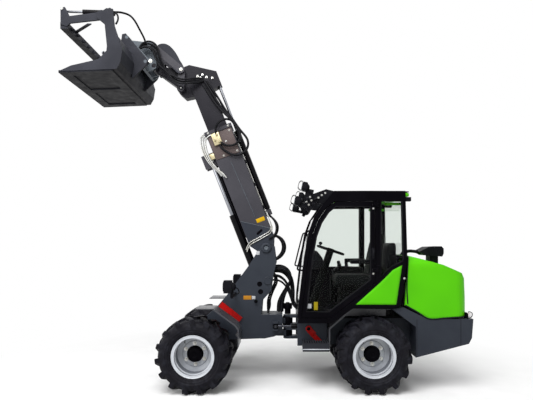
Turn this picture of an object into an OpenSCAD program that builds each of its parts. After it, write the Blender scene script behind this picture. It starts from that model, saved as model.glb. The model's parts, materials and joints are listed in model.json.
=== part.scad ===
// Compact articulated telescopic wheel loader with cab, raised boom and grapple bucket.
// +X points forward, +Y to the machine's left, +Z up, and the wheels stand on z = 0.
// Places along X are measured from the articulation pin, and the whole machine is then
// moved so that the origin lies under the middle of its overall length.

/* [Wheels] */
// Outer diameter of the tyres over the lugs
tyre_d = 850; // [820:5:870]
// Width of the tyres
tyre_w = 390; // [360:5:400]
// Height of the lugs over the tyre's carcass
lug_h = 30; // [20:1:36]
// Lugs on each half of a tyre
lug_n = 15; // [12:1:18]
// Flat facets around each tyre, few enough that the four stay light
tyre_n = 24; // [20:4:36]
// Slope of the tyre shoulders
tyre_shoulder_r = 70; // [40:5:90]
// Diameter over the rim flanges
rim_d = 478; // [440:2:500]
// Diameter of the bead seats
rim_seat_d = 432; // [400:2:436]
// Width between the rim flanges
rim_w = 330; // [300:5:340]
// Thickness of the rim's sheet
rim_wall = 9; // [6:1:12]
// Distance of the wheel disc behind the outer flange
disc_inset = 190; // [170:5:210]
// Thickness of the wheel disc
disc_t = 14; // [10:1:20]
// Diameter of the wheel hubs
hub_d = 160; // [120:5:200]
// How far the hubs stand out of the wheel discs
hub_out = 75; // [40:5:100]
// Distance between the middles of the left and right tyres
track = 1030; // [1010:5:1060]
// Front axle in front of the articulation pin
front_axle_x = 1060; // [1040:5:1080]
// Rear axle behind the articulation pin
rear_axle_x = 955; // [940:5:970]
// Radius of the axle tubes
axle_r = 70; // [55:5:75]
// Radius of the differential housings
diff_r = 74; // [72:1:75]

/* [Articulation] */
// Height of the upper articulation bearing
joint_upper_z = 731; // [728:1:731]
// Height of the lower articulation bearing
joint_lower_z = 580; // [570:1:584]
// Height of each bearing boss
joint_boss_h = 70; // [60:2:70]
// Radius of bosses and lugs
joint_boss_r = 54; // [45:1:56]
// Radius of the articulation pins
joint_pin_r = 25; // [18:1:32]
// Thickness of the lugs above and below each boss
joint_lug_t = 34; // [25:1:34]

/* [Front frame] */
// Width over the tower's side plates
tower_w = 350; // [346:2:370]
// Thickness of the side plates
tower_plate_t = 25; // [18:1:25]
// Rear end of the front frame in front of the articulation pin
tower_rear_x = 64; // [62:1:70]
// Length of the side plates
tower_l = 1136; // [1120:4:1150]
// Lowest edge of the side plates
tower_foot_z = 500; // [500:1:504]
// Boom pivot in front of the articulation pin
boom_pivot_x = 261; // [255:1:266]
// Height of the boom pivot
boom_pivot_z = 1629; // [1600:1:1650]
// Radius of the boom pivot's bosses
boom_boss_r = 62; // [50:1:70]
// Radius of the boom pivot's pin
boom_pin_r = 30; // [20:1:38]
// Width of a front mudguard
guard_w = 300; // [260:5:320]
// Thickness of the mudguards
guard_t = 12; // [6:1:16]

/* [Boom] */
// Angle of the raised boom above the horizontal
boom_angle = 68.5; // [60:0.5:75]
// Length of the outer boom in front of its pivot
outer_l = 1580; // [1550:5:1600]
// Depth of the outer boom
outer_depth = 322; // [316:2:330]
// Width of the outer boom
outer_w = 240; // [236:2:250]
// Wall of the outer boom
outer_wall = 12; // [8:1:14]
// Depth of the inner boom
inner_depth = 245; // [230:5:250]
// Width of the inner boom
inner_w = 180; // [170:2:186]
// Wall of the inner boom
inner_wall = 10; // [8:1:14]
// Distance of the boom's centre line in front of the pivot
boom_drop = 20; // [10:1:24]
// Distance from the boom pivot to the lower pin of the boom head
nose_a = 2201; // [2190:1:2215]
// Width of the boom head
head_w = 120; // [100:2:124]

/* [Tool] */
// Width of the bucket
bucket_w = 1400; // [1340:10:1460]
// Length of the bucket's side plates
bucket_l = 708; // [690:2:720]
// Height of the bucket's side plates
bucket_h = 683; // [670:1:690]
// Thickness of the bucket's side plates
bucket_side_t = 20; // [14:1:24]
// Thickness of the bucket's floor and back
bucket_shell_t = 16; // [12:1:20]
// Length of the tilt crank and of the hitch's lever
crank_l = 215; // [205:1:220]
// Thickness of the crank, link and hitch plates
lever_t = 20; // [14:1:22]
// Thickness of the claw's plates
claw_t = 20; // [14:1:24]

/* [Cab] */
// Width of the cab
cab_w = 1180; // [1160:4:1200]
// Height of the cab floor's underside
cab_floor_z = 801; // [795:1:806]
// Height of the cab's pillars over the floor
cab_h = 1410; // [1390:5:1430]
// Thickness of the cab's side frames
cab_frame_t = 60; // [50:2:70]
// Thickness of the roof
roof_t = 67; // [55:1:80]
// Thickness of the panes
glass_t = 6; // [4:1:8]
// Width of the seat cushion
seat_w = 480; // [420:10:520]
// Diameter of the steering wheel
steer_wheel_d = 360; // [320:10:400]

/* [Rear] */
// Length of the counterweight behind the rear wheels
weight_l = 650; // [630:5:670]
// Width of the counterweight and hood
rear_w = 1120; // [1080:10:1150]
// Thickness of the hood's skin
hood_t = 14; // [8:1:18]
// Thickness of the rails' plates
rail_t = 25; // [18:1:28]
// Distance of the rails' outer faces from the middle
rail_y = 295; // [285:1:300]

/* [Hidden] */
$fn = 48;

// Overrun of every cut
cut = 2;
// Size of a cylinder's neck beside its eye and barrel
neck_share = 0.7;
// Running clearance at pins, seats and slides
fit = 0.3;

// Wheel places
axle_z = tyre_d / 2;
disc_y = rim_w / 2 - disc_inset;
hub_in = 40;
hub_seat_y = track / 2 + disc_y - hub_in;
lug_w = 58;
lug_sweep = 90;
lug_over = 14;
lug_edge = 5;
lug_foot = 82;
stub_r = 38;
stub_l = 60;
axle_end_r = 105;
axle_end_l = 90;
axle_pad_l = 200;
diff_l = 270;

// Articulation bearings
joint_gap = 1;

// Tower outline as shares of its length and of the boom pivot's height over its foot
tower_shares = [[0, 0.098], [0.086, 0.052], [0.19, 0.03], [0.43, 0.03], [0.736, 0], [1, 0],
    [1, 0.124], [0.877, 0.213], [0.71, 0.356], [0.584, 0.506], [0.353, 0.82], [0.224, 1.03],
    [0.086, 1.016], [0.064, 0.843], [0.098, 0.703], [0.121, 0.541], [0.214, 0.436],
    [0.226, 0.285], [0, 0.285]];
tower_h = boom_pivot_z - tower_foot_z;
tower_in_y = tower_w / 2 - tower_plate_t;
deck_shares = [[0.226, 0.23], [0.72, 0.23], [0.99, 0.1], [0.99, 0.075], [0.71, 0.205], [0.226, 0.205]];
box_top_shares = [[0, 0.265], [0.235, 0.265], [0.235, 0.285], [0, 0.285]];
box_rear_shares = [[0, 0.098], [0.022, 0.086], [0.022, 0.28], [0, 0.28]];
box_foot_shares = [[0.08, 0.056], [0.19, 0.03], [0.99, 0], [0.99, 0.022], [0.19, 0.055], [0.086, 0.078]];
rear_brace_shares = [[0.098, 0.703], [0.121, 0.541], [0.214, 0.436], [0.232, 0.452],
    [0.142, 0.55], [0.12, 0.703]];

// Lift cylinder
lift_base_ahead = 94.4;
lift_base_drop = 426.8;
lift_base_x = boom_pivot_x + lift_base_ahead;
lift_base_z = boom_pivot_z - lift_base_drop;
lift_eye_a = 1250;
lift_eye_p = 240;
lift_barrel_r = 48;
lift_rod_r = 30;
lift_barrel_l = 895;
lift_bore_r = 38;
lift_eye_r = 40;
lift_eye_w = 88;
lift_pin_r = 25;
lift_base_r = 50;
lift_rest = norm([boom_at(lift_eye_a, -lift_eye_p)[0] - lift_base_x,
    boom_at(lift_eye_a, -lift_eye_p)[1] - lift_base_z]);
lift_rod_in = 730;
tower_hole_share = [0.238, 0.53];
tower_hole_r = 20;
tower_boss_share = [0.158, 0.646];
tower_boss_r = 46;
tower_boss_t = 8;
lift_cheek_t = 20;
lift_cheek_l = 170;
lift_cheek_p = 340;

// Front mudguards
guard_shares = [[1, 1], [0.581, 1], [0.0625, 0.567], [0, 0.459], [0, 0]];
guard_rear_x = 547;
guard_l = 480;
guard_low_z = 540;
guard_h = 423;
guard_shift = 35;
guard_y = track / 2 + guard_shift;
guard_stay_r = 20;
guard_stay_share = [0.06, 0.25];

// Head lamps
lamp_w = 115;
lamp_h = 142;
lamp_depth = 90;
lamp_x = 679;
lamp_z = 1194;
lamp_y = 568;
lamp_stay_r = 18;
lamp_stay_drop = 115;

// Boom prop
prop_l = 310;
prop_w = 80;
prop_t = 20;
prop_angle = 38;
prop_share = [0.555, 0.312];

// Boom sections, measured along the boom and towards its upper side
outer_top = outer_depth / 2 - boom_drop;
outer_low = -outer_depth / 2 - boom_drop;
inner_top = inner_depth / 2 - boom_drop;
inner_low = -inner_depth / 2 - boom_drop;
foot_l = 95;
collar_l = 45;
collar_t = 15;
cheek_t = 12;
cheek_l = 420;
cheek_top_l = 200;
inner_rear_a = 1000;
pad_l = 90;
tele_z = 190;
tele_base_a = 400;
tele_front_a = 1490;
tele_pin_a = 2178;
tele_barrel_r = 35;
tele_bore_r = 27;
tele_rod_r = 18;
tele_pin_r = 16;
tele_ear_t = 15;
tele_eye_w = 70;
tele_ear_r = 32;

// Boom head, crank and hitch lever
nose_z = -255;
hitch_ahead = 374;
hitch_drop = 209;
hitch_a = nose_a + hitch_ahead;
hitch_z = nose_z - hitch_drop;
head_rear = 140;
crank_angle = 91.5;
head_pin_r = 26;
crank_pin_r = 20;
crank_eye_r = 42;
nose_eye_r = 52;
lever_gap = 6;
lever_arc_n = 12;
lever_waist_share = 0.8;
lever_y = inner_w / 2 + lever_gap;
link_y = lever_y + lever_t + lever_gap;

// Bucket outline as shares of its length and height
bucket_shares = [[1, 0], [0.803, 0.094], [0.375, 0.196], [0.248, 0.334], [0.241, 0.409],
    [0.275, 0.76], [0.39, 0.86], [0.402, 0.9], [0.35, 0.95], [0.25, 1.02], [0.15, 1.01],
    [0.124, 0.741], [0, 0.352], [0.03, 0.15], [0.09, 0.038]];
bucket_ahead = 193;
bucket_below = 275;
bucket_shell_shares = [[1, 0], [0.09, 0.038], [0.03, 0.15], [0, 0.352], [0.058, 0.556]];
bucket_ear_shares = [[0.03, 0.1], [-0.2, 0.33], [-0.235, 0.4], [-0.2, 0.46], [0.143, 0.886], [0.206, 0.871],
    [0.22, 0.76], [0.075, 0.55], [0.026, 0.352], [0.056, 0.16]];
bucket_ear_y = 240;
bucket_ear_t = 25;
bucket_rib_n = 3;
bucket_rib_h = 12;
bucket_rib_w = 110;
bucket_edge_share = 0.84;
bucket_heel_share = 0.16;

// Claw
claw_pivot_share = [0.329, 0.918];
claw_base_share = [0.196, 1.0];
claw_pin_share = [0.956, 1.028];
claw_pivot_r = 50;
claw_pin_r = 18;
claw_shares = [[0.329, 0.983], [0.84, 0.91], [0.88, 0.99], [0.915, 1.06], [0.98, 1.04],
    [0.979, 0.775], [0.88, 0.745], [0.83, 0.796], [0.329, 0.853]];
claw_gap = 7;
claw_y = bucket_w / 2 - bucket_side_t - claw_gap - claw_t;
claw_bar_share = [0.93, 0.765];
claw_bar_w = 84;
claw_bar_h = 72;
claw_tooth_n = 8;
claw_tooth_l = 46;
claw_tooth_w = 24;
claw_brace_share = 0.5;
claw_brace_reach = 240;
claw_brace_w = 46;
claw_brace_t = 14;
claw_cyl_in = 45;
claw_cyl_y = claw_y - claw_cyl_in;
claw_barrel_r = 28;
claw_bore_r = 20;
claw_rod_r = 13;
claw_eye_r = 26;
claw_eye_w = 50;
claw_barrel_l = 330;
claw_rod_in = 200;

// Hitch, measured from its pivot
hitch_shares = [[-0.1, -0.1], [0.07, -0.2], [0.3, -0.25], [0.37, -0.12], [1.0, 0.95],
    [0.95, 1.08], [0.05, 0.98], [-0.09, 0.95], [-0.14, 0.7]];
hitch_l = 300;
hitch_h = 285;
hitch_plate_shares = [[0.26, -0.25], [0.36, -0.28], [1.05, 0.97], [0.95, 1.05]];
hitch_w = 460;
hitch_side_shares = [[0.1, -0.12], [0.36, -0.28], [1.05, 0.97], [0.92, 1.1], [0.1, 0.12]];
hitch_pin_r = 20;
hitch_low_share = [0.21, -0.01];
hitch_top_share = [0.95, 1.0];

// Cab outline as shares of its length behind the front foot and of its height
cab_front_x = 111;
cab_l = 1235;
cab_shares = [[0, 0], [0.007, 0.158], [0.054, 0.509], [0.094, 0.709], [0.147, 0.836],
    [0.228, 0.942], [0.33, 1.045], [0.978, 1.045], [0.996, 0.509], [0.936, 0.123],
    [0.847, 0.1], [0.5, 0.106], [0.305, -0.012], [0, -0.012]];
door_shares = [[0.03, 0.028], [0.045, 0.158], [0.092, 0.509], [0.131, 0.7], [0.18, 0.815],
    [0.252, 0.908], [0.335, 0.962], [0.703, 0.962], [0.703, 0.301], [0.5, 0.165],
    [0.29, 0.028]];
door_pane_shares = [[0.075, 0.08], [0.09, 0.17], [0.132, 0.5], [0.168, 0.68], [0.215, 0.79],
    [0.28, 0.875], [0.345, 0.92], [0.66, 0.92], [0.66, 0.335], [0.48, 0.215], [0.28, 0.08]];
right_pane_shares = [[0.0774, 0.4], [0.092, 0.509], [0.131, 0.7], [0.18, 0.815], [0.252, 0.908],
    [0.335, 0.962], [0.703, 0.962], [0.703, 0.4]];
quarter_shares = [[0.755, 0.962], [0.945, 0.962], [0.958, 0.51], [0.952, 0.485], [0.86, 0.445],
    [0.755, 0.36]];
panel_shares = [[0.525, 0.137], [0.755, 0.318], [0.865, 0.415], [0.948, 0.452], [0.895, 0.137]];
door_gap = 6;
door_t = 44;
hinge_share = 0.722;
hinge_r = 14;
hinge_h = 70;
hinge_gap = 4;
hinge_reach = 48;
hinge_z_shares = [0.40, 0.92];
door_mid_share = [0.4, 0.5];

// Roof, windscreen, front wall and rear wall
roof_front_share = 0.31;
roof_rear_share = 1.022;
roof_sink = 8;
roof_bend = 40;
screen_shares = [[0.004, 0.1], [0.007, 0.158], [0.054, 0.509], [0.094, 0.709], [0.147, 0.836],
    [0.228, 0.942], [0.3, 0.99]];
screen_inset = 14;
kick_h_share = 0.1;
rear_wall_t = 30;
rear_wall_share = 0.93;
rear_pane_share = 0.97;
arch_top_share = 0.11;
rear_sill_share = 0.53;

// Floor, mudguards and step
floor_t = 25;
arch_y = 312;
arch_shares = [[0.287, -0.24], [0.287, -0.057], [0.5, 0.106], [0.847, 0.1]];
arch_t = 14;
arch_wall_shares = [[0.39, 0.018], [0.5, 0.106], [0.847, 0.1], [0.847, 0.018]];
step_l = 300;
step_w = 170;
step_stay_w = 18;
step_h = 94;
step_x = 164;
step_z = 464;
step_wall = 6;

// Seat, column and console
seat_front_x = 560;
seat_l = 480;
seat_t = 110;
seat_z = 1190;
seat_base_w = 380;
back_l = 620;
back_t = 100;
back_lean = 11;
back_w_share = 0.47;
column_x = 275;
column_top_x = 533;
column_top_z = 1600;
column_r = 45;
wheel_rim_r = 15;
wheel_hub_r = 38;
spoke_share = 0.8;
console_l = 520;
console_w = 130;
console_h = 300;
console_y = 325;
stick_r = 14;
stick_h = 170;

// Rear chassis
chassis_front_x = 110;
chassis_low_z = 487;
bulkhead_x = 500;
spine_w = 250;
spine_front_x = 190;
skirt_y = 370;
skirt_rear_x = 455;
rail_past_axle = 490;
rail_rear_x = rear_axle_x + rail_past_axle;
rail_shares = [[0, 0], [0.2, 0.11], [0.72, 0.11], [1, -0.25], [1, 1], [0, 1]];

// Counterweight
weight_low_z = 391;
weight_h = 437;
weight_shares = [[0, 0], [0.923, 0.357], [0.975, 0.508], [1, 1], [0, 1]];
tow_in = 35;
tow_r = 13;
tow_z = 650;
tow_jaw = 80;
tow_lip = 45;
wing_shares = [[-0.415, 1.26], [-0.215, 1.3], [0.2, 1], [0.2, 0.7], [0, 0.792]];

// Hood
hood_front_x = 1351;
hood_l = 687;
hood_low_z = weight_low_z + weight_h + fit;
hood_h = 720;
hood_shares = [[0.015, 1], [0.59, 0.85], [0.9, 0.72], [0.95, 0.63], [1, 0.035], [0.36, 0],
    [-0.05, 0.21]];
hood_corner_r = 130;
hood_corner_n = 6;
hood_hinge_ahead = 5;
hood_hinge_drop = 23;
hood_hinge = [-hood_front_x + hood_hinge_ahead, hood_low_z + hood_h - hood_hinge_drop];
hood_hinge_y = 330;
hood_knuckle_r = 20;
hood_knuckle_l = 60;
hood_pin_r = 10;
hood_cheek_t = 12;
hood_cheek_r = 16;
louvre_n = 7;
louvre_w = 520;
louvre_h = 18;
louvre_step = 44;
louvre_lift = 102;
louvre_z = hood_low_z + louvre_lift;
louvre_share = 0.9;
scoop_w = 300;
scoop_neck_w = 170;
scoop_slot_n = 7;
scoop_slot_w = 20;
scoop_slot_in = 40;
scoop_shares = [[0.36, 1.05], [0.47, 0.985], [0.765, 0.965], [0.79, 1.02], [0.79, 1.1], [0.75, 1.14],
    [0.53, 1.13]];
scoop_neck_shares = [[0.57, 1.05], [0.57, 0.8552], [0.59, 0.85], [0.72, 0.7955], [0.72, 1.05]];

// Engine
engine_l = 440;
engine_w = 420;
engine_h = 420;

// Work lamps, as shares of the cab's outline: bracket, then the middle of each lamp
lamp_bracket_shares = [[0.257, 1.06], [0.13, 1.02], [0.068, 0.895], [0.095, 0.88], [0.15, 0.95]];
lamp_bracket_t = 24;
lamp_bracket_in = 35;
lamp_bracket_y = cab_w / 2 - lamp_bracket_in;
work_lamp_shares = [[0.078, 1.076], [0.012, 0.962]];
work_lamp_w = 96;
work_lamp_h = 104;
work_lamp_t = 54;
work_lamp_bevel = 16;
work_lamp_stems = [90, 124];
work_lamp_drops = [90, 0];
work_lamp_lean = 12;
tail_lamp_y = 450;
tail_lamp_w = 70;
tail_lamp_h = 46;
tail_lamp_l = 56;

// Lock bar
lock_l = 240;
lock_w = 55;
lock_t = 12;
lock_x = 326;
lock_z = 582;
lock_angle = 46;

// Steering cylinder
steer_z = 690;
steer_base_x = 460;
steer_base_y = 205;
steer_eye_x = 150;
steer_eye_y = 220;
steer_barrel_r = 30;
steer_bore_r = 22;
steer_rod_r = 15;
steer_eye_r = 32;
steer_eye_h = 36;
steer_barrel_l = 420;
steer_rod_in = 225;
steer_ear_t = 16;
steer_pin_r = 15;

// Outline points from shares of a length and a height, from a corner
function spread(shares, corner, size) =
    [for (s = shares) [corner[0] + s[0] * size[0], corner[1] + s[1] * size[1]]];
// Place of a point of the boom, given along it and towards its upper side
function boom_at(a, up) = [boom_pivot_x + a * cos(boom_angle) - up * sin(boom_angle),
    boom_pivot_z + a * sin(boom_angle) + up * cos(boom_angle)];
// Points of an arc
function arc(centre, r, from, to, n) =
    [for (i = [0 : n]) centre + r * [cos(from + (to - from) * i / n), sin(from + (to - from) * i / n)]];
function tower_at(s) = [tower_rear_x + s[0] * tower_l, tower_foot_z + s[1] * tower_h];
function tool_at(s) = [bucket_back_x + s[0] * bucket_l, bucket_floor_z + s[1] * bucket_h];
function cab_at(s) = [-cab_front_x - s[0] * cab_l, cab_floor_z + s[1] * cab_h];
function cab_points(shares) = [for (s = shares) cab_at(s)];
nose_at = boom_at(nose_a, nose_z);
hitch_at = boom_at(hitch_a, hitch_z);
crank_step = crank_l * [cos(crank_angle), sin(crank_angle)];
crank_at = nose_at + crank_step;
lever_at = hitch_at + crank_step;
function hitch_points(shares) = spread(shares, hitch_at, [hitch_l, hitch_h]);

// The bucket hangs on the hitch, and the origin lies midway between its tip and the rear end
bucket_back_x = hitch_at[0] + bucket_ahead;
bucket_floor_z = hitch_at[1] - bucket_below;
front_reach = bucket_back_x + bucket_l;
rear_reach = rail_rear_x + weight_l;
origin_x = (front_reach - rear_reach) / 2;

// Moves a piece drawn from the articulation pin into the machine's frame
module placed() { translate([-origin_x, 0, 0]) children(); }
module both_sides() {
    children();
    mirror([0, 1, 0]) children();
}
// An upright plate with the outline given in X and Z, its middle at y
module plate(points, t, y = 0) {
    translate([0, y + t / 2, 0]) rotate([90, 0, 0]) linear_extrude(t) polygon(points);
}
// A round bar across the machine at a point given in X and Z, its middle at y
module cross_bar(at, r, l, y = 0) {
    translate([at[0], y + l / 2, at[1]]) rotate([90, 0, 0]) cylinder(r = r, h = l);
}
// Turns +X into the line from one point to another, both given in X and Z
module along(from, to, y = 0) {
    translate([from[0], y, from[1]])
        rotate([0, -atan2(to[1] - from[1], to[0] - from[0]), 0]) children();
}
module bar_x(r, l) { rotate([0, 90, 0]) cylinder(r = r, h = l); }
module block(x, y, z) {
    translate([x[0], y[0], z[0]]) cube([x[1] - x[0], y[1] - y[0], z[1] - z[0]]);
}
module boom_frame() {
    translate([boom_pivot_x, 0, boom_pivot_z]) rotate([0, -boom_angle, 0]) children();
}

// Cylinder barrel along +X with its base eye at the origin; the rod's bore is open in front
module barrel(r, bore, l, eye_r, eye_w, pin_r) {
    difference() {
        union() {
            translate([eye_r + r / 2, 0, 0]) bar_x(r, l - eye_r - r / 2);
            block([0, eye_r + r], [-eye_w / 2, eye_w / 2] * neck_share, [-r, r] * neck_share);
            translate([0, eye_w / 2, 0]) rotate([90, 0, 0]) cylinder(r = eye_r, h = eye_w);
        }
        translate([eye_r + r, 0, 0]) bar_x(bore, l);
        translate([0, r + eye_w, 0]) rotate([90, 0, 0])
            cylinder(r = pin_r + fit, h = 2 * (r + eye_w));
    }
}
// Cylinder rod along +X that ends in a drilled eye at the given length
module rod(r, bore, from, to, eye_r, eye_w, pin_r) {
    difference() {
        union() {
            translate([from, 0, 0]) bar_x(r, to - from);
            translate([from, 0, 0]) bar_x(bore - fit, r);
            translate([to, eye_w / 2, 0]) rotate([90, 0, 0]) cylinder(r = eye_r, h = eye_w);
        }
        translate([to, eye_w, 0]) rotate([90, 0, 0]) cylinder(r = pin_r + fit, h = 2 * eye_w);
    }
}

module tyre(x, side) {
    half = tyre_w / 2;
    seat = rim_seat_d / 2 + fit;
    collar = rim_d / 2 + fit;
    outer = tyre_d / 2 - lug_h;
    corner = outer - tyre_shoulder_r;
    bead = rim_w / 2 - rim_wall - fit;
    color([0.08, 0.08, 0.08]) placed()
        translate([x, side * track / 2, axle_z]) rotate([-90 * side, 0, 0]) {
            facet_ring([[seat, -bead], [collar, -bead], [corner, -half], [outer, tyre_shoulder_r - half],
                [outer, half - tyre_shoulder_r], [corner, half], [collar, bead], [seat, bead]]);
            lugs(side);
        }
}
// Corners of a polygon of facets that lie a distance from the middle
function facet_points(r) = [for (j = [0 : tyre_n - 1]) let (a = (j + 1 / 2) * 360 / tyre_n)
    r / cos(180 / tyre_n) * [cos(a), sin(a)]];
// A ring whose outline goes round Z in flat facets
module facet_ring(outline) {
    m = len(outline);
    rings = [for (p = outline) facet_points(p[0])];
    polyhedron([for (j = [0 : tyre_n - 1], i = [0 : m - 1])
            [rings[i][j][0], rings[i][j][1], outline[i][1]]],
        [for (j = [0 : tyre_n - 1], i = [0 : m - 1], next = [(j + 1) % tyre_n * m])
            [j * m + i, j * m + (i + 1) % m, next + (i + 1) % m, next + i]]);
}
// Two rows of slanting lugs whose inner ends lead when the machine drives forward
module lugs(side) {
    lead = side * lug_sweep / 2;
    out = tyre_w / 2;
    intersection() {
        linear_extrude(tyre_w - 2 * lug_edge, center = true) polygon(facet_points(tyre_d / 2));
        for (s = [-1, 1], i = [0 : lug_n - 1]) rotate([0, 0, (i + (s + 1) / 4) * 360 / lug_n])
            translate([tyre_d / 2 - lug_foot, 0, 0]) rotate([90, 0, 90]) linear_extrude(2 * lug_foot)
                polygon([[lead - lug_w / 2, -s * lug_over], [lead + lug_w / 2, -s * lug_over],
                    [-lead + lug_w / 2, s * out], [-lead - lug_w / 2, s * out]]);
    }
}
module rim(x, side) {
    half = rim_w / 2;
    seat = rim_seat_d / 2;
    inner = seat - rim_wall;
    color("silver") placed()
        translate([x, side * track / 2, axle_z]) rotate([-90 * side, 0, 0]) difference() {
            union() {
                rotate_extrude() polygon([[inner, -half], [rim_d / 2, -half],
                    [rim_d / 2, -half + rim_wall], [seat, -half + rim_wall],
                    [seat, half - rim_wall], [rim_d / 2, half - rim_wall], [rim_d / 2, half],
                    [inner, half]]);
                translate([0, 0, disc_y - disc_t / 2]) cylinder(r = inner + rim_wall / 2, h = disc_t);
                translate([0, 0, disc_y - hub_in + fit]) cylinder(d = hub_d, h = hub_in + hub_out - fit);
            }
            translate([0, 0, disc_y - hub_in - cut]) cylinder(r = stub_r + fit, h = stub_l + cut + fit);
        }
}
module axle(x, pad_z) {
    color([0.2, 0.2, 0.22]) placed() translate([x, 0, axle_z]) {
        rotate([90, 0, 0]) cylinder(r = axle_r, h = 2 * hub_seat_y, center = true);
        rotate([90, 0, 0]) cylinder(r = stub_r, h = 2 * (hub_seat_y + stub_l), center = true);
        translate([-diff_l / 2, 0, 0]) bar_x(diff_r, diff_l);
        both_sides() translate([0, hub_seat_y, 0]) rotate([90, 0, 0])
            cylinder(r = axle_end_r, h = axle_end_l);
        block([-axle_pad_l / 2, axle_pad_l / 2], [-tower_in_y, tower_in_y], [0, pad_z - axle_z]);
    }
}

module rear_chassis() {
    rail_l = rail_rear_x - bulkhead_x;
    color([0.25, 0.26, 0.28]) placed() difference() {
        union() {
            block([-bulkhead_x, -spine_front_x], [-spine_w / 2, spine_w / 2], [chassis_low_z, cab_floor_z]);
            block([-bulkhead_x - rail_t, -bulkhead_x], [-rail_y, rail_y], [chassis_low_z, cab_floor_z]);
            block([-skirt_rear_x, -spine_front_x], [-skirt_y, skirt_y], [cab_floor_z - rail_t,
                cab_floor_z]);
            both_sides() {
                block([-skirt_rear_x, -chassis_front_x], [skirt_y - rail_t, skirt_y],
                    [chassis_low_z, cab_floor_z]);
                plate(spread(rail_shares, [-bulkhead_x, chassis_low_z],
                    [-rail_l, cab_floor_z - chassis_low_z]), rail_t, rail_y - rail_t / 2);
            }
            block([-rail_rear_x, -rail_rear_x + rail_t], [-rail_y, rail_y],
                [chassis_low_z, cab_floor_z]);
            block([-rear_axle_x - axle_pad_l / 2, -rear_axle_x + axle_pad_l / 2],
                [-rail_y, rail_y], [axle_z + axle_r + rail_t, axle_z + axle_r + rail_t + axle_r]);
            for (z = [joint_upper_z, joint_lower_z]) {
                for (s = [-1, 1]) translate([0, 0, z + s * (joint_boss_h + joint_lug_t) / 2
                        + s * joint_gap]) {
                    cylinder(r = joint_boss_r, h = joint_lug_t, center = true);
                    translate([-spine_front_x / 2, 0, 0])
                        cube([spine_front_x + cut, 2 * joint_boss_r, joint_lug_t], center = true);
                }
                translate([0, 0, z]) cylinder(r = joint_pin_r,
                    h = joint_boss_h + joint_lug_t + 2 * joint_gap, center = true);
            }
            for (s = [-1, 1]) translate([0, 0, steer_z + s * (steer_eye_h + steer_ear_t + 2 * fit) / 2])
                translate([-(steer_base_x + bulkhead_x) / 2, steer_base_y, 0])
                    cube([bulkhead_x - steer_base_x + 2 * steer_eye_r, 2 * steer_eye_r, steer_ear_t],
                        center = true);
            translate([-steer_base_x, steer_base_y, steer_z])
                cylinder(r = steer_pin_r, h = steer_eye_h + steer_ear_t, center = true);
        }
    }
}
module rear_axle() { axle(-rear_axle_x, axle_z + axle_r + rail_t); }
module counterweight() {
    color([0.3, 0.31, 0.33]) placed() {
        difference() {
            plate(spread(weight_shares, [-rail_rear_x, weight_low_z], [-weight_l, weight_h]), rear_w);
            block([-rear_reach - cut, -rear_reach + 4 * tow_in], [-tow_in, tow_in] * 2, [tow_z,
                tow_z + tow_jaw]);
            translate([-rear_reach + tow_in, 0, tow_z - tow_lip]) cylinder(r = tow_r, h = weight_h);
        }
        both_sides() plate(spread(wing_shares, [-rail_rear_x, weight_low_z], [-weight_l, weight_h]),
            rear_w / 2 - arch_y, (rear_w / 2 + arch_y) / 2);
    }
}
module engine_block() {
    top = weight_low_z + weight_h;
    color([0.35, 0.35, 0.36]) placed()
        block([-rail_rear_x - engine_l, -rail_rear_x], [-engine_w / 2, engine_w / 2], [top,
            top + engine_h]);
}

module cab_floor() {
    wide_x = cab_at([arch_shares[0][0], 0])[0];
    color([0.1, 0.1, 0.1]) placed() {
        block([wide_x, -cab_front_x], [-cab_w / 2 + cab_frame_t, cab_w / 2 - cab_frame_t],
            [cab_floor_z, cab_floor_z + floor_t]);
        block([-rail_rear_x + rail_t, wide_x], [-arch_y, arch_y], [cab_floor_z, cab_floor_z + floor_t]);
    }
}
module cab_side(opening_shares) {
    difference() {
        plate(cab_points(cab_shares), cab_frame_t, (cab_w - cab_frame_t) / 2);
        plate(cab_points(opening_shares), cab_frame_t + cut, (cab_w - cab_frame_t) / 2);
        plate(cab_points(quarter_shares), cab_frame_t + cut, (cab_w - cab_frame_t) / 2);
        plate(cab_points(panel_shares), cab_frame_t + cut, (cab_w - cab_frame_t) / 2);
    }
}
module cab_left_frame() {
    color([0.06, 0.06, 0.06]) placed() {
        cab_side(door_shares);
        hinge_halves(-hinge_r, hinge_h / 2);
    }
}
module cab_right_frame() {
    color([0.06, 0.06, 0.06]) placed() mirror([0, 1, 0]) cab_side(right_pane_shares);
}
module cab_rear_wall() {
    color([0.06, 0.06, 0.06]) placed() {
        top = cab_at([0, rear_sill_share])[1];
        x = cab_at([rear_wall_share, 0])[0];
        block([x, x + rear_wall_t], [-cab_w / 2 + cab_frame_t, cab_w / 2 - cab_frame_t], [cab_at([0,
            arch_top_share])[1], top]);
        block([x, x + rear_wall_t], [-arch_y, arch_y], [cab_floor_z + floor_t, cab_at([0,
            arch_top_share])[1]]);
        both_sides() {
            for (s = [-1, 1]) plate([[x + rear_wall_t / 2, top - 3 * hood_knuckle_r],
                [x + rear_wall_t / 2, top - hood_cheek_t],
                hood_hinge + [0, hood_cheek_r], hood_hinge - [hood_cheek_r, 0],
                hood_hinge - [0, hood_cheek_r]],
                hood_cheek_t, hood_hinge_y + s * (hood_knuckle_l + hood_cheek_t + 4 * fit) / 2);
            cross_bar(hood_hinge, hood_pin_r, hood_knuckle_l + 2 * hood_cheek_t, hood_hinge_y);
        }
    }
}
module cab_front_wall() {
    color([0.06, 0.06, 0.06]) placed()
        block([-cab_front_x - cab_frame_t, -cab_front_x], [-cab_w / 2 + cab_frame_t,
            cab_w / 2 - cab_frame_t],
            [cab_floor_z + floor_t, cab_at([0, kick_h_share])[1]]);
}
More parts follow.
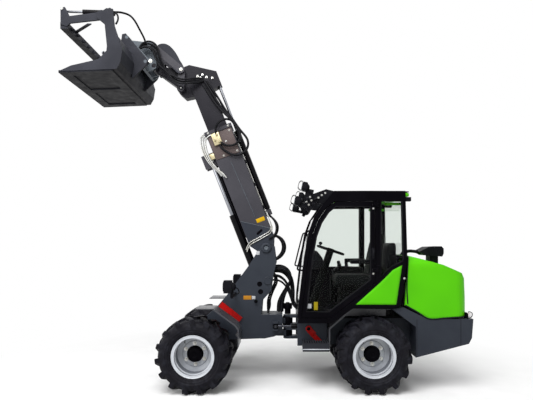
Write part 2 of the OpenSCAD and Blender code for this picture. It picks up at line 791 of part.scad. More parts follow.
module cab_roof() {
    rear = cab_at([roof_rear_share, 0])[0];
    front = cab_at([roof_front_share, 0])[0];
    low = cab_floor_z + cab_h;
    top = low + roof_t - roof_sink;
    color([0.33, 0.78, 0.02]) placed() plate([[rear + roof_bend, low], [front, low], [front,
        top - roof_bend / 2],
        [front - roof_bend, top], [rear + roof_bend, top], [rear, top - roof_bend / 2], [rear,
            low + roof_sink]],
        cab_w - 2 * cab_frame_t);
}
module cab_glass() {
    in_w = cab_w - 2 * cab_frame_t - 2 * fit;
    points = cab_points(screen_shares);
    rear_top = cab_floor_z + cab_h;
    rear_low = cab_at([0, rear_sill_share])[1];
    color([0.6, 0.7, 0.7, 0.4]) placed() {
        plate(concat([for (p = points) p - [screen_inset, 0]],
            [for (i = [len(points) - 1 : -1 : 0]) points[i] - [screen_inset + glass_t, 0]]), in_w);
        block([cab_at([rear_pane_share, 0])[0], cab_at([rear_pane_share, 0])[0] + glass_t], [-in_w / 2,
            in_w / 2],
            [rear_low, rear_top]);
        mirror([0, 1, 0]) plate(cab_points(right_pane_shares), glass_t, (cab_w - cab_frame_t) / 2);
        both_sides() plate(cab_points(quarter_shares), glass_t, (cab_w - cab_frame_t) / 2);
    }
}
module side_panels() {
    color([0.33, 0.78, 0.02]) placed() both_sides()
        plate(cab_points(panel_shares), cab_frame_t / 2, (cab_w - cab_frame_t / 2) / 2);
}
module operator_seat() {
    low = cab_floor_z + floor_t;
    color([0.12, 0.12, 0.13]) placed() {
        block([-seat_front_x - seat_l, -seat_front_x], [-seat_base_w / 2, seat_base_w / 2], [low, seat_z]);
        block([-seat_front_x - seat_l, -seat_front_x], [-seat_w / 2, seat_w / 2], [seat_z,
            seat_z + seat_t]);
        translate([-seat_front_x - seat_l + back_t / 2, 0, seat_z + seat_t / 2]) rotate([0, -back_lean, 0])
            block([-back_t, 0], [-seat_w, seat_w] * back_w_share, [0, back_l]);
    }
}
module steering_column() {
    low = [-column_x, cab_floor_z + floor_t];
    top = [-column_top_x, column_top_z];
    l = norm(top - low);
    color([0.1, 0.1, 0.1]) placed() translate([low[0], 0, low[1]]) cylinder(r = 2 * column_r,
        h = 2 * column_r);
    color([0.1, 0.1, 0.1]) placed() along(low, top) {
        translate([column_r, 0, 0]) bar_x(column_r, l - column_r);
        translate([l, 0, 0]) rotate([0, 90, 0]) rotate_extrude()
            translate([steer_wheel_d / 2 - wheel_rim_r, 0]) circle(wheel_rim_r);
        translate([l - column_r / 2, 0, 0]) bar_x(wheel_hub_r, column_r);
        for (i = [0 : 2]) translate([l, 0, 0]) rotate([i * 120, 0, 0])
            block([-wheel_rim_r / 2, wheel_rim_r / 2], [-wheel_rim_r, wheel_rim_r] * spoke_share,
                [wheel_hub_r / 2, steer_wheel_d / 2 - wheel_rim_r]);
    }
}
module control_console() {
    low = cab_at(arch_shares[2])[1] + fit;
    color([0.1, 0.1, 0.11]) placed() {
        block([-seat_front_x - console_l, -seat_front_x], [-console_y - console_w / 2,
            -console_y + console_w / 2],
            [low, low + console_h]);
        translate([-seat_front_x - console_w, -console_y, low + console_h]) cylinder(r = stick_r,
            h = stick_h);
    }
}
module rear_mudguards() {
    points = cab_points(arch_shares);
    color([0.07, 0.07, 0.07]) placed() both_sides() {
        plate(concat(points, [for (i = [len(points) - 1 : -1 : 0]) points[i] - [arch_t, arch_t]]),
            cab_w / 2 - cab_frame_t - arch_y, (cab_w / 2 - cab_frame_t + arch_y) / 2);
        plate(cab_points(arch_wall_shares), arch_t, arch_y - arch_t / 2);
    }
}
module entry_step() {
    color("silver") placed() difference() {
        union() {
            block([-step_x - step_l, -step_x], [cab_w / 2 - step_w, cab_w / 2], [step_z, step_z + step_h]);
            for (x = [-step_x - step_l, -step_x - step_stay_w])
                block([x, x + step_stay_w], [skirt_y, cab_w / 2], [chassis_low_z, step_z + step_h]);
        }
        block([-step_x - step_l + step_wall, -step_x - step_wall], [cab_w / 2 - step_w + step_wall,
            cab_w / 2 - step_wall],
            [step_z + step_wall, step_z + step_h + cut]);
    }
}
module roof_lamps() {
    tail = cab_at([roof_rear_share, 0]);
    color([0.12, 0.12, 0.12]) placed() both_sides() {
        plate(concat([cab_at(cab_shares[5]), cab_at(cab_shares[6])], cab_points(lamp_bracket_shares)),
            lamp_bracket_t, lamp_bracket_y);
        for (i = [0, 1], at = [cab_at(work_lamp_shares[i])]) translate([at[0], lamp_bracket_y, at[1]])
            rotate([0, -work_lamp_lean, 0]) work_lamp(work_lamp_stems[i], work_lamp_drops[i]);
        block([tail[0] - tail_lamp_l / 2, tail[0] + tail_lamp_l], [tail_lamp_y, tail_lamp_y + tail_lamp_w],
            [tail[1] + cab_h - tail_lamp_h, tail[1] + cab_h]);
    }
}
// A flat lamp that looks along +X, with a stem that reaches behind and below it
module work_lamp(stem, drop) {
    h = work_lamp_h / 2;
    plate([[0, -h], [work_lamp_t - work_lamp_bevel, -h], [work_lamp_t, -h + work_lamp_bevel],
        [work_lamp_t, h - work_lamp_bevel], [work_lamp_t - work_lamp_bevel, h], [0, h],
        [-work_lamp_bevel, h / 2], [-work_lamp_bevel, -h / 2]], work_lamp_w);
    block([-stem, 0], [-lamp_bracket_t, lamp_bracket_t] / 3, [-h - drop, -h / 4]);
}
module lock_bar() {
    color("red") placed() translate([-lock_x, skirt_y + lock_t / 2, lock_z])
        rotate([0, -lock_angle, 0]) cube([lock_l, lock_t, lock_w], center = true);
}
module hood() {
    points = spread(hood_shares, [-hood_front_x, hood_low_z], [-hood_l, hood_h]);
    color([0.33, 0.78, 0.02]) placed() difference() {
        union() {
            difference() {
                intersection() {
                    plate(points, rear_w);
                    hood_section(0);
                    hood_plan(0);
                }
                intersection() {
                    plate(spread(hood_shares, [-hood_front_x + hood_t, hood_low_z - hood_t], [-hood_l,
                        hood_h]),
                        rear_w);
                    hood_section(hood_t);
                    hood_plan(hood_t);
                }
            }
            both_sides() {
                cross_bar(hood_hinge, hood_knuckle_r, hood_knuckle_l, hood_hinge_y);
                block([hood_hinge[0] - 3 * hood_knuckle_r, hood_hinge[0]],
                    [hood_hinge_y - hood_knuckle_l / 2, hood_hinge_y + hood_knuckle_l / 2],
                    [hood_hinge[1], hood_hinge[1] + hood_knuckle_r * neck_share]);
            }
        }
        both_sides() cross_bar(hood_hinge, hood_pin_r + fit, hood_knuckle_l + cut, hood_hinge_y);
        for (i = [0 : louvre_n - 1]) block([-hood_front_x - 2 * hood_l,
            -hood_front_x - louvre_share * hood_l],
            [-louvre_w / 2, louvre_w / 2], [louvre_z + i * louvre_step,
                louvre_z + i * louvre_step + louvre_h]);
    }
}
// Plan of the hood with round rear corners
module hood_plan(inset) {
    w = rear_w / 2 - inset;
    rear = -hood_front_x - hood_l + inset;
    r = hood_corner_r - inset;
    translate([0, 0, weight_low_z]) linear_extrude(hood_h + weight_h) polygon(concat(
        [[-hood_front_x + hood_corner_r, -w], [-hood_front_x + hood_corner_r, w]],
        arc([rear + r, w - r], r, 90, 180, hood_corner_n), arc([rear + r, -w + r], r, 180, 270,
            hood_corner_n)));
}
// Cross section of the hood with round upper edges, drawn the whole length of the hood
module hood_section(inset) {
    w = rear_w / 2 - inset;
    top = hood_low_z + hood_h - inset;
    r = hood_corner_r - inset;
    translate([-hood_front_x - hood_l - cut, 0, 0]) rotate([90, 0, 90]) linear_extrude(hood_l + hood_h)
        polygon(concat([[-w, 0], [w, 0]], arc([w - r, top - r], r, 0, 90, hood_corner_n),
            arc([-w + r, top - r], r, 90, 180, hood_corner_n)));
}
module intake_scoop() {
    corner = [-hood_front_x, hood_low_z + fit];
    points = spread(scoop_shares, corner, [-hood_l, hood_h]);
    step = scoop_w / scoop_slot_n;
    color([0.1, 0.1, 0.11]) placed() difference() {
        union() {
            plate(points, scoop_w);
            plate(spread(scoop_neck_shares, corner, [-hood_l, hood_h]), scoop_neck_w);
        }
        for (i = [0 : scoop_slot_n - 1]) translate([0, -scoop_w / 2 + (i + 1 / 2) * step, 0])
            block([points[4][0] - cut, points[4][0] + scoop_slot_in], [-scoop_slot_w / 2, scoop_slot_w / 2],
                [points[3][1], points[4][1]]);
    }
}
// The door's outline lies inside its opening by the gap
function door_points() = let (mid = cab_at(door_mid_share)) [for (p = cab_points(door_shares))
    p + door_gap * [sign(mid[0] - p[0]), sign(mid[1] - p[1])]];
// One half of each hinge, with an arm that reaches from its pillar or door
module hinge_halves(reach, lift) {
    x = cab_at([hinge_share, 0])[0];
    y = cab_w / 2 + hinge_r + hinge_gap;
    for (share = hinge_z_shares) translate([x, y, cab_at([0, share])[1] + lift]) {
        cylinder(r = hinge_r, h = hinge_h / 2 - fit);
        block([min(0, reach), max(0, reach)], [-hinge_r / 2, hinge_r / 2], [0, hinge_h / 2 - fit]);
        block([reach - hinge_r / 2, reach + hinge_r / 2], [-hinge_r - hinge_gap, hinge_r / 2], [0,
            hinge_h / 2 - fit]);
    }
}
module door_frame() {
    y = cab_w / 2 - door_t / 2;
    color([0.06, 0.06, 0.06]) placed() {
        hinge_halves(hinge_reach, 0);
        difference() {
            plate(door_points(), door_t, y);
            plate(cab_points(door_pane_shares), door_t + cut, y);
        }
    }
}
module door_glass() {
    color([0.6, 0.7, 0.7, 0.4]) placed() plate(cab_points(door_pane_shares), glass_t,
        cab_w / 2 - door_t / 2);
}

module front_tower() {
    color([0.27, 0.29, 0.31]) placed() difference() {
        union() {
            both_sides() {
                plate(spread(tower_shares, [tower_rear_x, tower_foot_z], [tower_l, tower_h]), tower_plate_t,
                    tower_in_y + tower_plate_t / 2);
                cross_bar([boom_pivot_x, boom_pivot_z], boom_boss_r, tower_plate_t,
                    tower_in_y + tower_plate_t / 2);
                cross_bar(tower_at(tower_boss_share), tower_boss_r, tower_plate_t,
                    tower_in_y + tower_plate_t / 2 + tower_boss_t);
            }
            for (shares = [deck_shares, box_top_shares, box_rear_shares, box_foot_shares,
                rear_brace_shares])
                plate(spread(shares, [tower_rear_x, tower_foot_z], [tower_l, tower_h]),
                    tower_w - tower_plate_t);
            for (z = [joint_upper_z, joint_lower_z]) translate([0, 0, z]) {
                cylinder(r = joint_boss_r, h = joint_boss_h, center = true);
                translate([tower_w / 4, 0, 0])
                    cube([tower_w / 2, 2 * joint_boss_r, joint_boss_h], center = true);
            }
            cross_bar([boom_pivot_x, boom_pivot_z], boom_pin_r, tower_w);
            cross_bar([lift_base_x, lift_base_z], lift_pin_r, tower_w);
            for (s = [-1, 1]) translate([steer_eye_x, (steer_eye_y + tower_in_y) / 2,
                    steer_z + s * (steer_eye_h + steer_ear_t + joint_lug_t) / 2])
                cube([2 * steer_eye_r, steer_eye_y - tower_in_y + 2 * steer_eye_r, steer_ear_t],
                    center = true);
        }
        for (z = [joint_upper_z, joint_lower_z]) translate([0, 0, z])
            cylinder(r = joint_pin_r + fit, h = joint_boss_h + cut, center = true);
        cross_bar(tower_at(tower_hole_share), tower_hole_r, tower_w + cut);
    }
}
module front_axle() { axle(front_axle_x, tower_foot_z); }
module front_mudguards() {
    points = spread(guard_shares, [guard_rear_x, guard_low_z], [guard_l, guard_h]);
    stay = spread([guard_stay_share], [guard_rear_x, guard_low_z], [guard_l, guard_h])[0];
    color([0.35, 0.36, 0.38]) placed() both_sides() {
        plate(concat(points, [for (i = [len(points) - 1 : -1 : 0]) points[i] + [guard_t, -guard_t]]),
            guard_w, guard_y);
        cross_bar(stay, guard_stay_r, guard_y - tower_w / 2, (guard_y + tower_w / 2) / 2);
    }
}
module head_lamps() {
    stay = [lamp_x - lamp_depth / 2, lamp_z - lamp_stay_drop];
    color([0.15, 0.15, 0.15]) placed() both_sides() {
        block([lamp_x - lamp_depth / 2, lamp_x + lamp_depth / 2], [lamp_y - lamp_w / 2,
            lamp_y + lamp_w / 2],
            [lamp_z - lamp_h / 2, lamp_z + lamp_h / 2]);
        cross_bar(stay, lamp_stay_r, lamp_y - tower_w / 2 + lamp_stay_r,
            (lamp_y + tower_w / 2 + lamp_stay_r) / 2);
        block([stay[0] - lamp_stay_r, stay[0] + lamp_stay_r], [lamp_y - lamp_stay_r, lamp_y + lamp_stay_r],
            [stay[1], lamp_z]);
    }
}
module boom_prop() {
    base = tower_at(prop_share);
    color("red") placed() translate([base[0], tower_w / 2 + prop_t / 2, base[1]]) rotate([0,
        -prop_angle, 0])
        cube([prop_l, prop_t, prop_w], center = true);
}

module outer_boom() {
    color([0.27, 0.29, 0.31]) placed() boom_frame() difference() {
        union() {
            plate([[-foot_l, 0], [-foot_l / 2, -outer_depth / 4], [foot_l, outer_low], [outer_l, outer_low],
                [outer_l, outer_top], [foot_l, outer_top], [-foot_l / 2, outer_depth / 4]], outer_w);
            plate([[-foot_l, 0], [-foot_l / 2, -outer_depth / 4], [foot_l, outer_low],
                [cheek_l, outer_low], [cheek_top_l, outer_top], [foot_l, outer_top],
                [-foot_l / 2, outer_depth / 4]], outer_w + 2 * cheek_t);
            cross_bar([0, 0], boom_boss_r, 2 * (tower_in_y - fit));
            block([outer_l - collar_l, outer_l], [-outer_w / 2 - collar_t, outer_w / 2 + collar_t],
                [outer_low - collar_t, outer_top + collar_t]);
            both_sides() {
                block([lift_eye_a - lift_cheek_l / 2, lift_eye_a + lift_cheek_l / 2],
                    [lift_eye_w / 2 + lift_cheek_t / 2, lift_eye_w / 2 + 3 * lift_cheek_t / 2],
                        [-lift_cheek_p, outer_low]);
                block([tele_base_a - tele_ear_r, tele_base_a + tele_ear_r],
                    [tele_eye_w / 2 + fit, tele_eye_w / 2 + tele_ear_t], [outer_top, tele_z + tele_ear_r]);
            }
            cross_bar([tele_base_a, tele_z], tele_pin_r, tele_eye_w + tele_ear_t);
            block([tele_front_a - 2 * tele_ear_r, tele_front_a - tele_ear_r], [-tele_ear_r, tele_ear_r],
                [outer_top, tele_z - tele_barrel_r - fit]);
        }
        block([cheek_l, outer_l + cut], [-outer_w / 2 + outer_wall, outer_w / 2 - outer_wall],
            [outer_low + outer_wall, outer_top - outer_wall]);
        cross_bar([0, 0], boom_pin_r + fit, tower_w);
    }
    color([0.27, 0.29, 0.31]) placed() boom_frame() wear_pads();
}
// Pads at the mouth of the outer boom that guide the inner one on its four sides
module wear_pads() {
    both_sides() block([outer_l - pad_l, outer_l], [inner_w / 2 + fit, outer_w / 2 - outer_wall + cut],
        [inner_low + inner_depth / 4, inner_top - inner_depth / 4]);
    block([outer_l - pad_l, outer_l], [-inner_w / 4, inner_w / 4], [inner_top + fit,
        outer_top - outer_wall + cut]);
    block([outer_l - pad_l, outer_l], [-inner_w / 4, inner_w / 4], [outer_low + outer_wall - cut,
        inner_low - fit]);
}
module tele_barrel() {
    color([0.08, 0.08, 0.08]) placed() boom_frame() translate([tele_base_a, 0, tele_z])
        barrel(tele_barrel_r, tele_bore_r, tele_front_a - tele_base_a, tele_ear_r, tele_eye_w, tele_pin_r);
}
module inner_boom() {
    color([0.3, 0.32, 0.34]) placed() boom_frame() difference() {
        union() {
            block([inner_rear_a, nose_a], [-inner_w / 2, inner_w / 2], [inner_low, inner_top]);
            plate(head_points(), head_w);
            cross_bar([nose_a, nose_z], nose_eye_r, 2 * (lever_y - fit));
            cross_bar([hitch_a, hitch_z], nose_eye_r, 2 * (lever_y - fit));
            cross_bar([tele_pin_a, tele_z], tele_pin_r, head_w);
            cross_bar([nose_a, nose_z], head_pin_r, 2 * (lever_y + lever_t));
            cross_bar([hitch_a, hitch_z], head_pin_r, 2 * (lever_y + lever_t));
        }
        block([inner_rear_a - cut, nose_a - inner_depth], [-inner_w / 2 + inner_wall,
            inner_w / 2 - inner_wall],
            [inner_low + inner_wall, inner_top - inner_wall]);
        difference() {
            block([nose_a - inner_depth, tele_pin_a + tele_ear_r + fit],
                [-tele_eye_w / 2 - fit, tele_eye_w / 2 + fit],
                [tele_z - tele_ear_r - fit, tele_z + 2 * tele_ear_r]);
            cross_bar([tele_pin_a, tele_z], tele_pin_r, head_w);
        }
    }
}
// Outline of the boom head along the boom and towards its upper side
function head_points() = let (waist = nose_eye_r * lever_waist_share)
    [[nose_a - head_rear, inner_low], [nose_a - inner_depth / 2, nose_z],
    [nose_a - waist, nose_z - waist], [nose_a + waist, nose_z - waist],
    [hitch_a, hitch_z - waist], [hitch_a + waist, hitch_z], [hitch_a, hitch_z + waist],
    [nose_a + inner_depth, nose_z + nose_eye_r], [nose_a + inner_depth, -inner_depth / 4],
    [nose_a + nose_eye_r, tele_z + tele_ear_r], [nose_a - inner_depth / 2, tele_z + tele_ear_r],
    [nose_a - head_rear, inner_top]];
module tele_rod() {
    color("silver") placed() boom_frame() translate([tele_base_a, 0, tele_z])
        rod(tele_rod_r, tele_bore_r, inner_rear_a - tele_base_a, tele_pin_a - tele_base_a, tele_ear_r,
            tele_eye_w,
            tele_pin_r);
}
module tilt_crank() {
    color([0.2, 0.21, 0.23]) placed() both_sides() difference() {
        union() {
            lever(nose_at, crank_at, lever_y + lever_t / 2);
            cross_bar(crank_at, crank_pin_r, link_y + lever_t - lever_y, (link_y + lever_t + lever_y) / 2);
        }
        cross_bar(nose_at, head_pin_r + fit, lever_t + cut, lever_y + lever_t / 2);
    }
}
// A flat lever with round ends between two points given in X and Z
module lever(from, to, y) {
    turn = atan2(to[1] - from[1], to[0] - from[0]);
    plate(concat(arc(to, crank_eye_r, turn - 90, turn + 90, lever_arc_n),
        arc(from, crank_eye_r, turn + 90, turn + 270, lever_arc_n)), lever_t, y);
}
module tilt_link() {
    color([0.24, 0.25, 0.27]) placed() both_sides() difference() {
        lever(crank_at, lever_at, link_y + lever_t / 2);
        for (at = [crank_at, lever_at]) cross_bar(at, crank_pin_r + fit, lever_t + cut,
            link_y + lever_t / 2);
    }
}
module hitch() {
    low = hitch_points([hitch_low_share])[0];
    top = hitch_points([hitch_top_share])[0];
    color([0.4, 0.43, 0.45]) placed() difference() {
        union() {
            both_sides() {
                plate(hitch_points(hitch_shares), lever_t, lever_y + lever_t / 2);
                plate(hitch_points(hitch_side_shares), lever_t, (hitch_w - lever_t) / 2);
                for (at = [low, top]) cross_bar(at, hitch_pin_r,
                    bucket_ear_y + bucket_ear_t - hitch_w / 2 + lever_t,
                    (bucket_ear_y + bucket_ear_t + hitch_w / 2 - lever_t) / 2);
                cross_bar(lever_at, crank_pin_r, link_y + lever_t - lever_y,
                    (link_y + lever_t + lever_y) / 2);
            }
            plate(hitch_points(hitch_plate_shares), hitch_w);
        }
        both_sides() cross_bar(hitch_at, head_pin_r + fit, lever_t + cut, lever_y + lever_t / 2);
    }
}
module bucket() {
    shell = [for (s = bucket_shell_shares) tool_at(s)];
    in_w = bucket_w - bucket_side_t;
    color([0.22, 0.23, 0.25]) placed() difference() {
        union() {
            both_sides() {
                plate([for (s = bucket_shares) tool_at(s)], bucket_side_t, (bucket_w - bucket_side_t) / 2);
                cross_bar(tool_at(claw_pivot_share), claw_pivot_r, bucket_side_t,
                    (bucket_w - bucket_side_t) / 2);
                plate([for (s = bucket_ear_shares) tool_at(s)], bucket_ear_t,
                    bucket_ear_y + bucket_ear_t / 2);
                cross_bar(tool_at(claw_pivot_share), claw_pin_r, bucket_w / 2 - claw_y,
                    (bucket_w / 2 + claw_y) / 2);
                cross_bar(tool_at(claw_base_share), claw_pin_r, bucket_w / 2 - claw_cyl_y + claw_eye_w / 2,
                    (bucket_w / 2 + claw_cyl_y - claw_eye_w / 2) / 2);
            }
            plate(concat(shell, [for (i = [len(shell) - 1 : -1 : 0])
                shell[i] + bucket_shell_t * [i == 0 ? 0 : 1, i < 3 ? 1 : 0]]), in_w);
            wear_strip(1, bucket_edge_share, in_w);
            wear_strip(bucket_heel_share + bucket_rib_w / bucket_l, bucket_heel_share, in_w);
            for (i = [0 : bucket_rib_n - 1]) wear_strip(bucket_edge_share + cut / bucket_l,
                bucket_heel_share,
                bucket_rib_w, (i / (bucket_rib_n - 1) - 1 / 2) * (in_w - bucket_rib_w));
        }
        both_sides() for (at = hitch_points([hitch_low_share, hitch_top_share]))
            cross_bar(at, hitch_pin_r + fit, bucket_ear_t + cut, bucket_ear_y + bucket_ear_t / 2);
    }
}
// A strip under the bucket's floor, between two shares of its length
module wear_strip(front, rear, w, y = 0) {
    line = bucket_shell_shares;
    slope = (line[1][1] - line[0][1]) / (line[1][0] - line[0][0]);
    ends = [for (s = [front, rear]) tool_at([s, (s - line[0][0]) * slope])];
    plate([ends[0] + [0, cut], ends[1] + [0, cut], ends[1] - [0, bucket_rib_h], ends[0] - [0,
        bucket_rib_h]],
        w, y);
}
module claw() {
    bar = tool_at(claw_bar_share);
    rear = bar[0] - claw_bar_w / 2;
    arm = tool_at([claw_brace_share, 0])[0];
    step = 2 * claw_y / claw_tooth_n;
    color([0.28, 0.29, 0.31]) placed() difference() {
        union() {
            both_sides() {
                plate([for (s = claw_shares) tool_at(s)], claw_t, claw_y + claw_t / 2);
                cross_bar(tool_at(claw_pivot_share), claw_pivot_r, claw_t, claw_y + claw_t / 2);
                translate([0, 0, bar[1] + claw_bar_h / 2 - 2 * claw_brace_t]) linear_extrude(claw_brace_t)
                    polygon([[arm, claw_y + claw_t / 2], [arm + claw_brace_w, claw_y + claw_t / 2],
                        [rear + claw_brace_t, claw_y - claw_brace_reach + claw_brace_w],
                        [rear + claw_brace_t, claw_y - claw_brace_reach]]);
            }
            block([rear, rear + claw_bar_w], [-claw_y - claw_t / 2, claw_y + claw_t / 2],
                [bar[1] - claw_bar_h / 2, bar[1] + claw_bar_h / 2]);
            for (i = [0 : claw_tooth_n - 1]) plate([[rear + claw_tooth_w / 2, bar[1] - claw_bar_h / 4],
                [rear + claw_tooth_w / 2, bar[1] + claw_bar_h / 4], [rear - claw_tooth_l,
                    bar[1] - claw_bar_h / 4]],
                claw_tooth_w, -claw_y + (i + 1 / 2) * step);
        }
        both_sides() cross_bar(tool_at(claw_pivot_share), claw_pin_r + fit, claw_t + cut,
            claw_y + claw_t / 2);
    }
}
module claw_barrels() {
    color([0.08, 0.08, 0.08]) placed() both_sides() along(tool_at(claw_base_share),
        tool_at(claw_pin_share), claw_cyl_y)
        barrel(claw_barrel_r, claw_bore_r, claw_barrel_l, claw_eye_r, claw_eye_w, claw_pin_r);
}
module claw_rods() {
    l = norm(tool_at(claw_pin_share) - tool_at(claw_base_share));
    color("silver") placed() both_sides() along(tool_at(claw_base_share), tool_at(claw_pin_share),
        claw_cyl_y)
        rod(claw_rod_r, claw_bore_r, claw_rod_in, l, claw_eye_r, claw_eye_w, claw_pin_r);
}
module lift_barrel() {
    color([0.08, 0.08, 0.08]) placed() along([lift_base_x, lift_base_z], boom_at(lift_eye_a, -lift_eye_p))
        barrel(lift_barrel_r, lift_bore_r, lift_barrel_l, lift_base_r, lift_eye_w, lift_pin_r);
}
module lift_rod() {
    color("silver") placed() along([lift_base_x, lift_base_z], boom_at(lift_eye_a, -lift_eye_p))
        rod(lift_rod_r, lift_bore_r, lift_rod_in, lift_rest, lift_eye_r, lift_eye_w, lift_pin_r);
}
module steer_line() {
    placed() translate([-steer_base_x, steer_base_y, steer_z])
        rotate([0, 0, atan2(steer_eye_y - steer_base_y, steer_eye_x + steer_base_x)]) rotate([90, 0,
            0]) children();
}
module steer_barrel() {
    color([0.08, 0.08, 0.08]) steer_line()
        barrel(steer_barrel_r, steer_bore_r, steer_barrel_l, steer_eye_r, steer_eye_h, steer_pin_r);
}
module steer_rod() {
    l = norm([steer_eye_x + steer_base_x, steer_eye_y - steer_base_y]);
    color("silver") steer_line()
        rod(steer_rod_r, steer_bore_r, steer_rod_in, l, steer_eye_r, steer_eye_h, steer_pin_r);
}

rear_chassis();
counterweight();
rear_axle();
engine_block();
cab_floor();
cab_left_frame();
cab_right_frame();
cab_rear_wall();
cab_front_wall();
cab_roof();
cab_glass();
side_panels();
operator_seat();
steering_column();
control_console();
rear_mudguards();
entry_step();
roof_lamps();
lock_bar();
hood();
intake_scoop();
door_frame();
door_glass();
front_tower();
front_axle();
front_mudguards();
head_lamps();
boom_prop();
outer_boom();
tele_barrel();
inner_boom();
tele_rod();
tilt_crank();
tilt_link();
hitch();
bucket();
claw();
claw_barrels();
claw_rods();
lift_barrel();
lift_rod();
steer_barrel();
steer_rod();
rim(front_axle_x, 1);  // front_left_rim
tyre(front_axle_x, 1);  // front_left_tyre
rim(front_axle_x, -1);  // front_right_rim
tyre(front_axle_x, -1);  // front_right_tyre
rim(-rear_axle_x, 1);  // rear_left_rim
tyre(-rear_axle_x, 1);  // rear_left_tyre
rim(-rear_axle_x, -1);  // rear_right_rim
tyre(-rear_axle_x, -1);  // rear_right_tyre
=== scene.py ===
"""Studio scene of a compact articulated telescopic loader with cab, lime hood and grapple bucket."""
import json
import logging
import math
from dataclasses import dataclass
from enum import Enum
from typing import Any, Optional, Sequence

import bmesh
import bpy
from mathutils import Matrix, Vector
from mathutils.bvhtree import BVHTree


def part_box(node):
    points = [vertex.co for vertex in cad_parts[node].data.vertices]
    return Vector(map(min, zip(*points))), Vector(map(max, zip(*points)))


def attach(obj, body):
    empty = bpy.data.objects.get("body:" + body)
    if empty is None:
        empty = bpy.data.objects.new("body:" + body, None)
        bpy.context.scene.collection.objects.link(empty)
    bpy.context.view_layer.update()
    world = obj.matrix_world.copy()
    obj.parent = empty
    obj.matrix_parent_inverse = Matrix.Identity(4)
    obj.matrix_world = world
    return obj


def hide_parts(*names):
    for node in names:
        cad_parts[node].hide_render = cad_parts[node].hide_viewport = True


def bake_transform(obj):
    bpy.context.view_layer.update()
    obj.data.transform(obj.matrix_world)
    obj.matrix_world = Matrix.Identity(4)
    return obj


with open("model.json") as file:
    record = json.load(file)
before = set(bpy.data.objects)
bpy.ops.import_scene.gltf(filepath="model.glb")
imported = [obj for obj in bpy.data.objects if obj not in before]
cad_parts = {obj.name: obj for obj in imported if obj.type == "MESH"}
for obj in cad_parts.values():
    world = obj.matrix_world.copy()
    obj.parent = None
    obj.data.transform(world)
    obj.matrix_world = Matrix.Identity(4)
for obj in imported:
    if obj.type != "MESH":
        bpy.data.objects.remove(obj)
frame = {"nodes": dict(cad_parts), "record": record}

LOG = logging.getLogger("loader")
MM = 0.001
# Distance in millimetres from the articulation pin forward to the frame's origin
ORIGIN_X = 221.23
# The raised boom: its pivot and its angle over the ground
BOOM_PIVOT = (261.0, 1629.0)
BOOM_ANGLE = math.radians(68.5)
# Front foot of the cab with the cab's length and height, and heel of the bucket with its length and height
CAB_FOOT, CAB_SPAN = (-111.0, 801.0), (1235.0, 1410.0)
TOOL_HEEL, TOOL_SPAN = (1829.45, 3579.8), (708.0, 683.0)
# Place of the tower's inner faces, which carry the ends of hoses
TOWER_INNER = 140.0
# The tightest bend of a hose in its own radii, and how often and how far a tighter one is opened
HOSE_BEND, EASE_ROUNDS, EASE_STEP = 9.6, 500, 0.3
SIDES = (1, -1)


def at(x: float, y: float, z: float) -> Vector:
    """Gives a point of the frame from millimetres measured at the articulation pin.

    Args:
        x: Distance in front of the articulation pin.
        y: Distance to the left of the middle.
        z: Height over the ground.

    Returns:
        The point in metres.
    """
    return Vector(((x - ORIGIN_X) * MM, y * MM, z * MM))


def on_boom(a: float, up: float, y: float) -> Vector:
    """Gives a point of the raised boom.

    Args:
        a: Millimetres along the boom from its pivot.
        up: Millimetres towards the boom's upper side.
        y: Millimetres to the left of the middle.

    Returns:
        The point in metres.
    """
    c, s = math.cos(BOOM_ANGLE), math.sin(BOOM_ANGLE)
    return at(BOOM_PIVOT[0] + a * c - up * s, y, BOOM_PIVOT[1] + a * s + up * c)


def cab_at(along: float, high: float, y: float) -> Vector:
    """Gives a point of the cab from shares of its length behind the front foot and of its height."""
    return at(CAB_FOOT[0] - along * CAB_SPAN[0], y, CAB_FOOT[1] + high * CAB_SPAN[1])


def tool_at(along: float, high: float, y: float) -> Vector:
    """Gives a point of the bucket from shares of its length before the heel and of its height."""
    return at(TOOL_HEEL[0] + along * TOOL_SPAN[0], y, TOOL_HEEL[1] + high * TOOL_SPAN[1])


def linear(colour: str) -> tuple[float, float, float, float]:
    """Turns an sRGB hex colour into linear RGBA.

    Args:
        colour: Six hex digits after a number sign.

    Returns:
        Linear red, green, blue and an alpha of 1.
    """
    parts = [int(colour[i:i + 2], 16) / 255 for i in (1, 3, 5)]
    rgb = [p / 12.92 if p <= 0.04045 else ((p + 0.055) / 1.055) ** 2.4 for p in parts]
    return (rgb[0], rgb[1], rgb[2], 1.0)


def node(tree: bpy.types.NodeTree, kind: str, inputs: Optional[dict] = None, **settings: Any) -> bpy.types.Node:
    """Adds a node to a tree, sets its properties and fills or links its inputs.

    Args:
        tree: The shader or geometry tree.
        kind: The node's type name.
        inputs: Values or output sockets by the input's name or number.
        settings: Properties of the node.

    Returns:
        The new node.
    """
    made = tree.nodes.new(kind)
    for key, value in settings.items():
        setattr(made, key, value)
    for key, value in (inputs or {}).items():
        if isinstance(value, bpy.types.NodeSocket):
            tree.links.new(value, made.inputs[key])
        else:
            made.inputs[key].default_value = value
    return made


def background_share(tree: bpy.types.NodeTree, path: bpy.types.Node) -> bpy.types.NodeSocket:
    """Gives 1 for the rays that may see the white background: those of the camera, of mirrors and of glass.

    Args:
        tree: The shader tree.
        path: Its light path node.

    Returns:
        The factor's socket.
    """
    seen = path.outputs["Is Camera Ray"]
    for other in ("Is Glossy Ray", "Is Transmission Ray"):
        seen = node(tree, "ShaderNodeMath", {0: seen, 1: path.outputs[other]}, operation="MAXIMUM").outputs[0]
    return seen


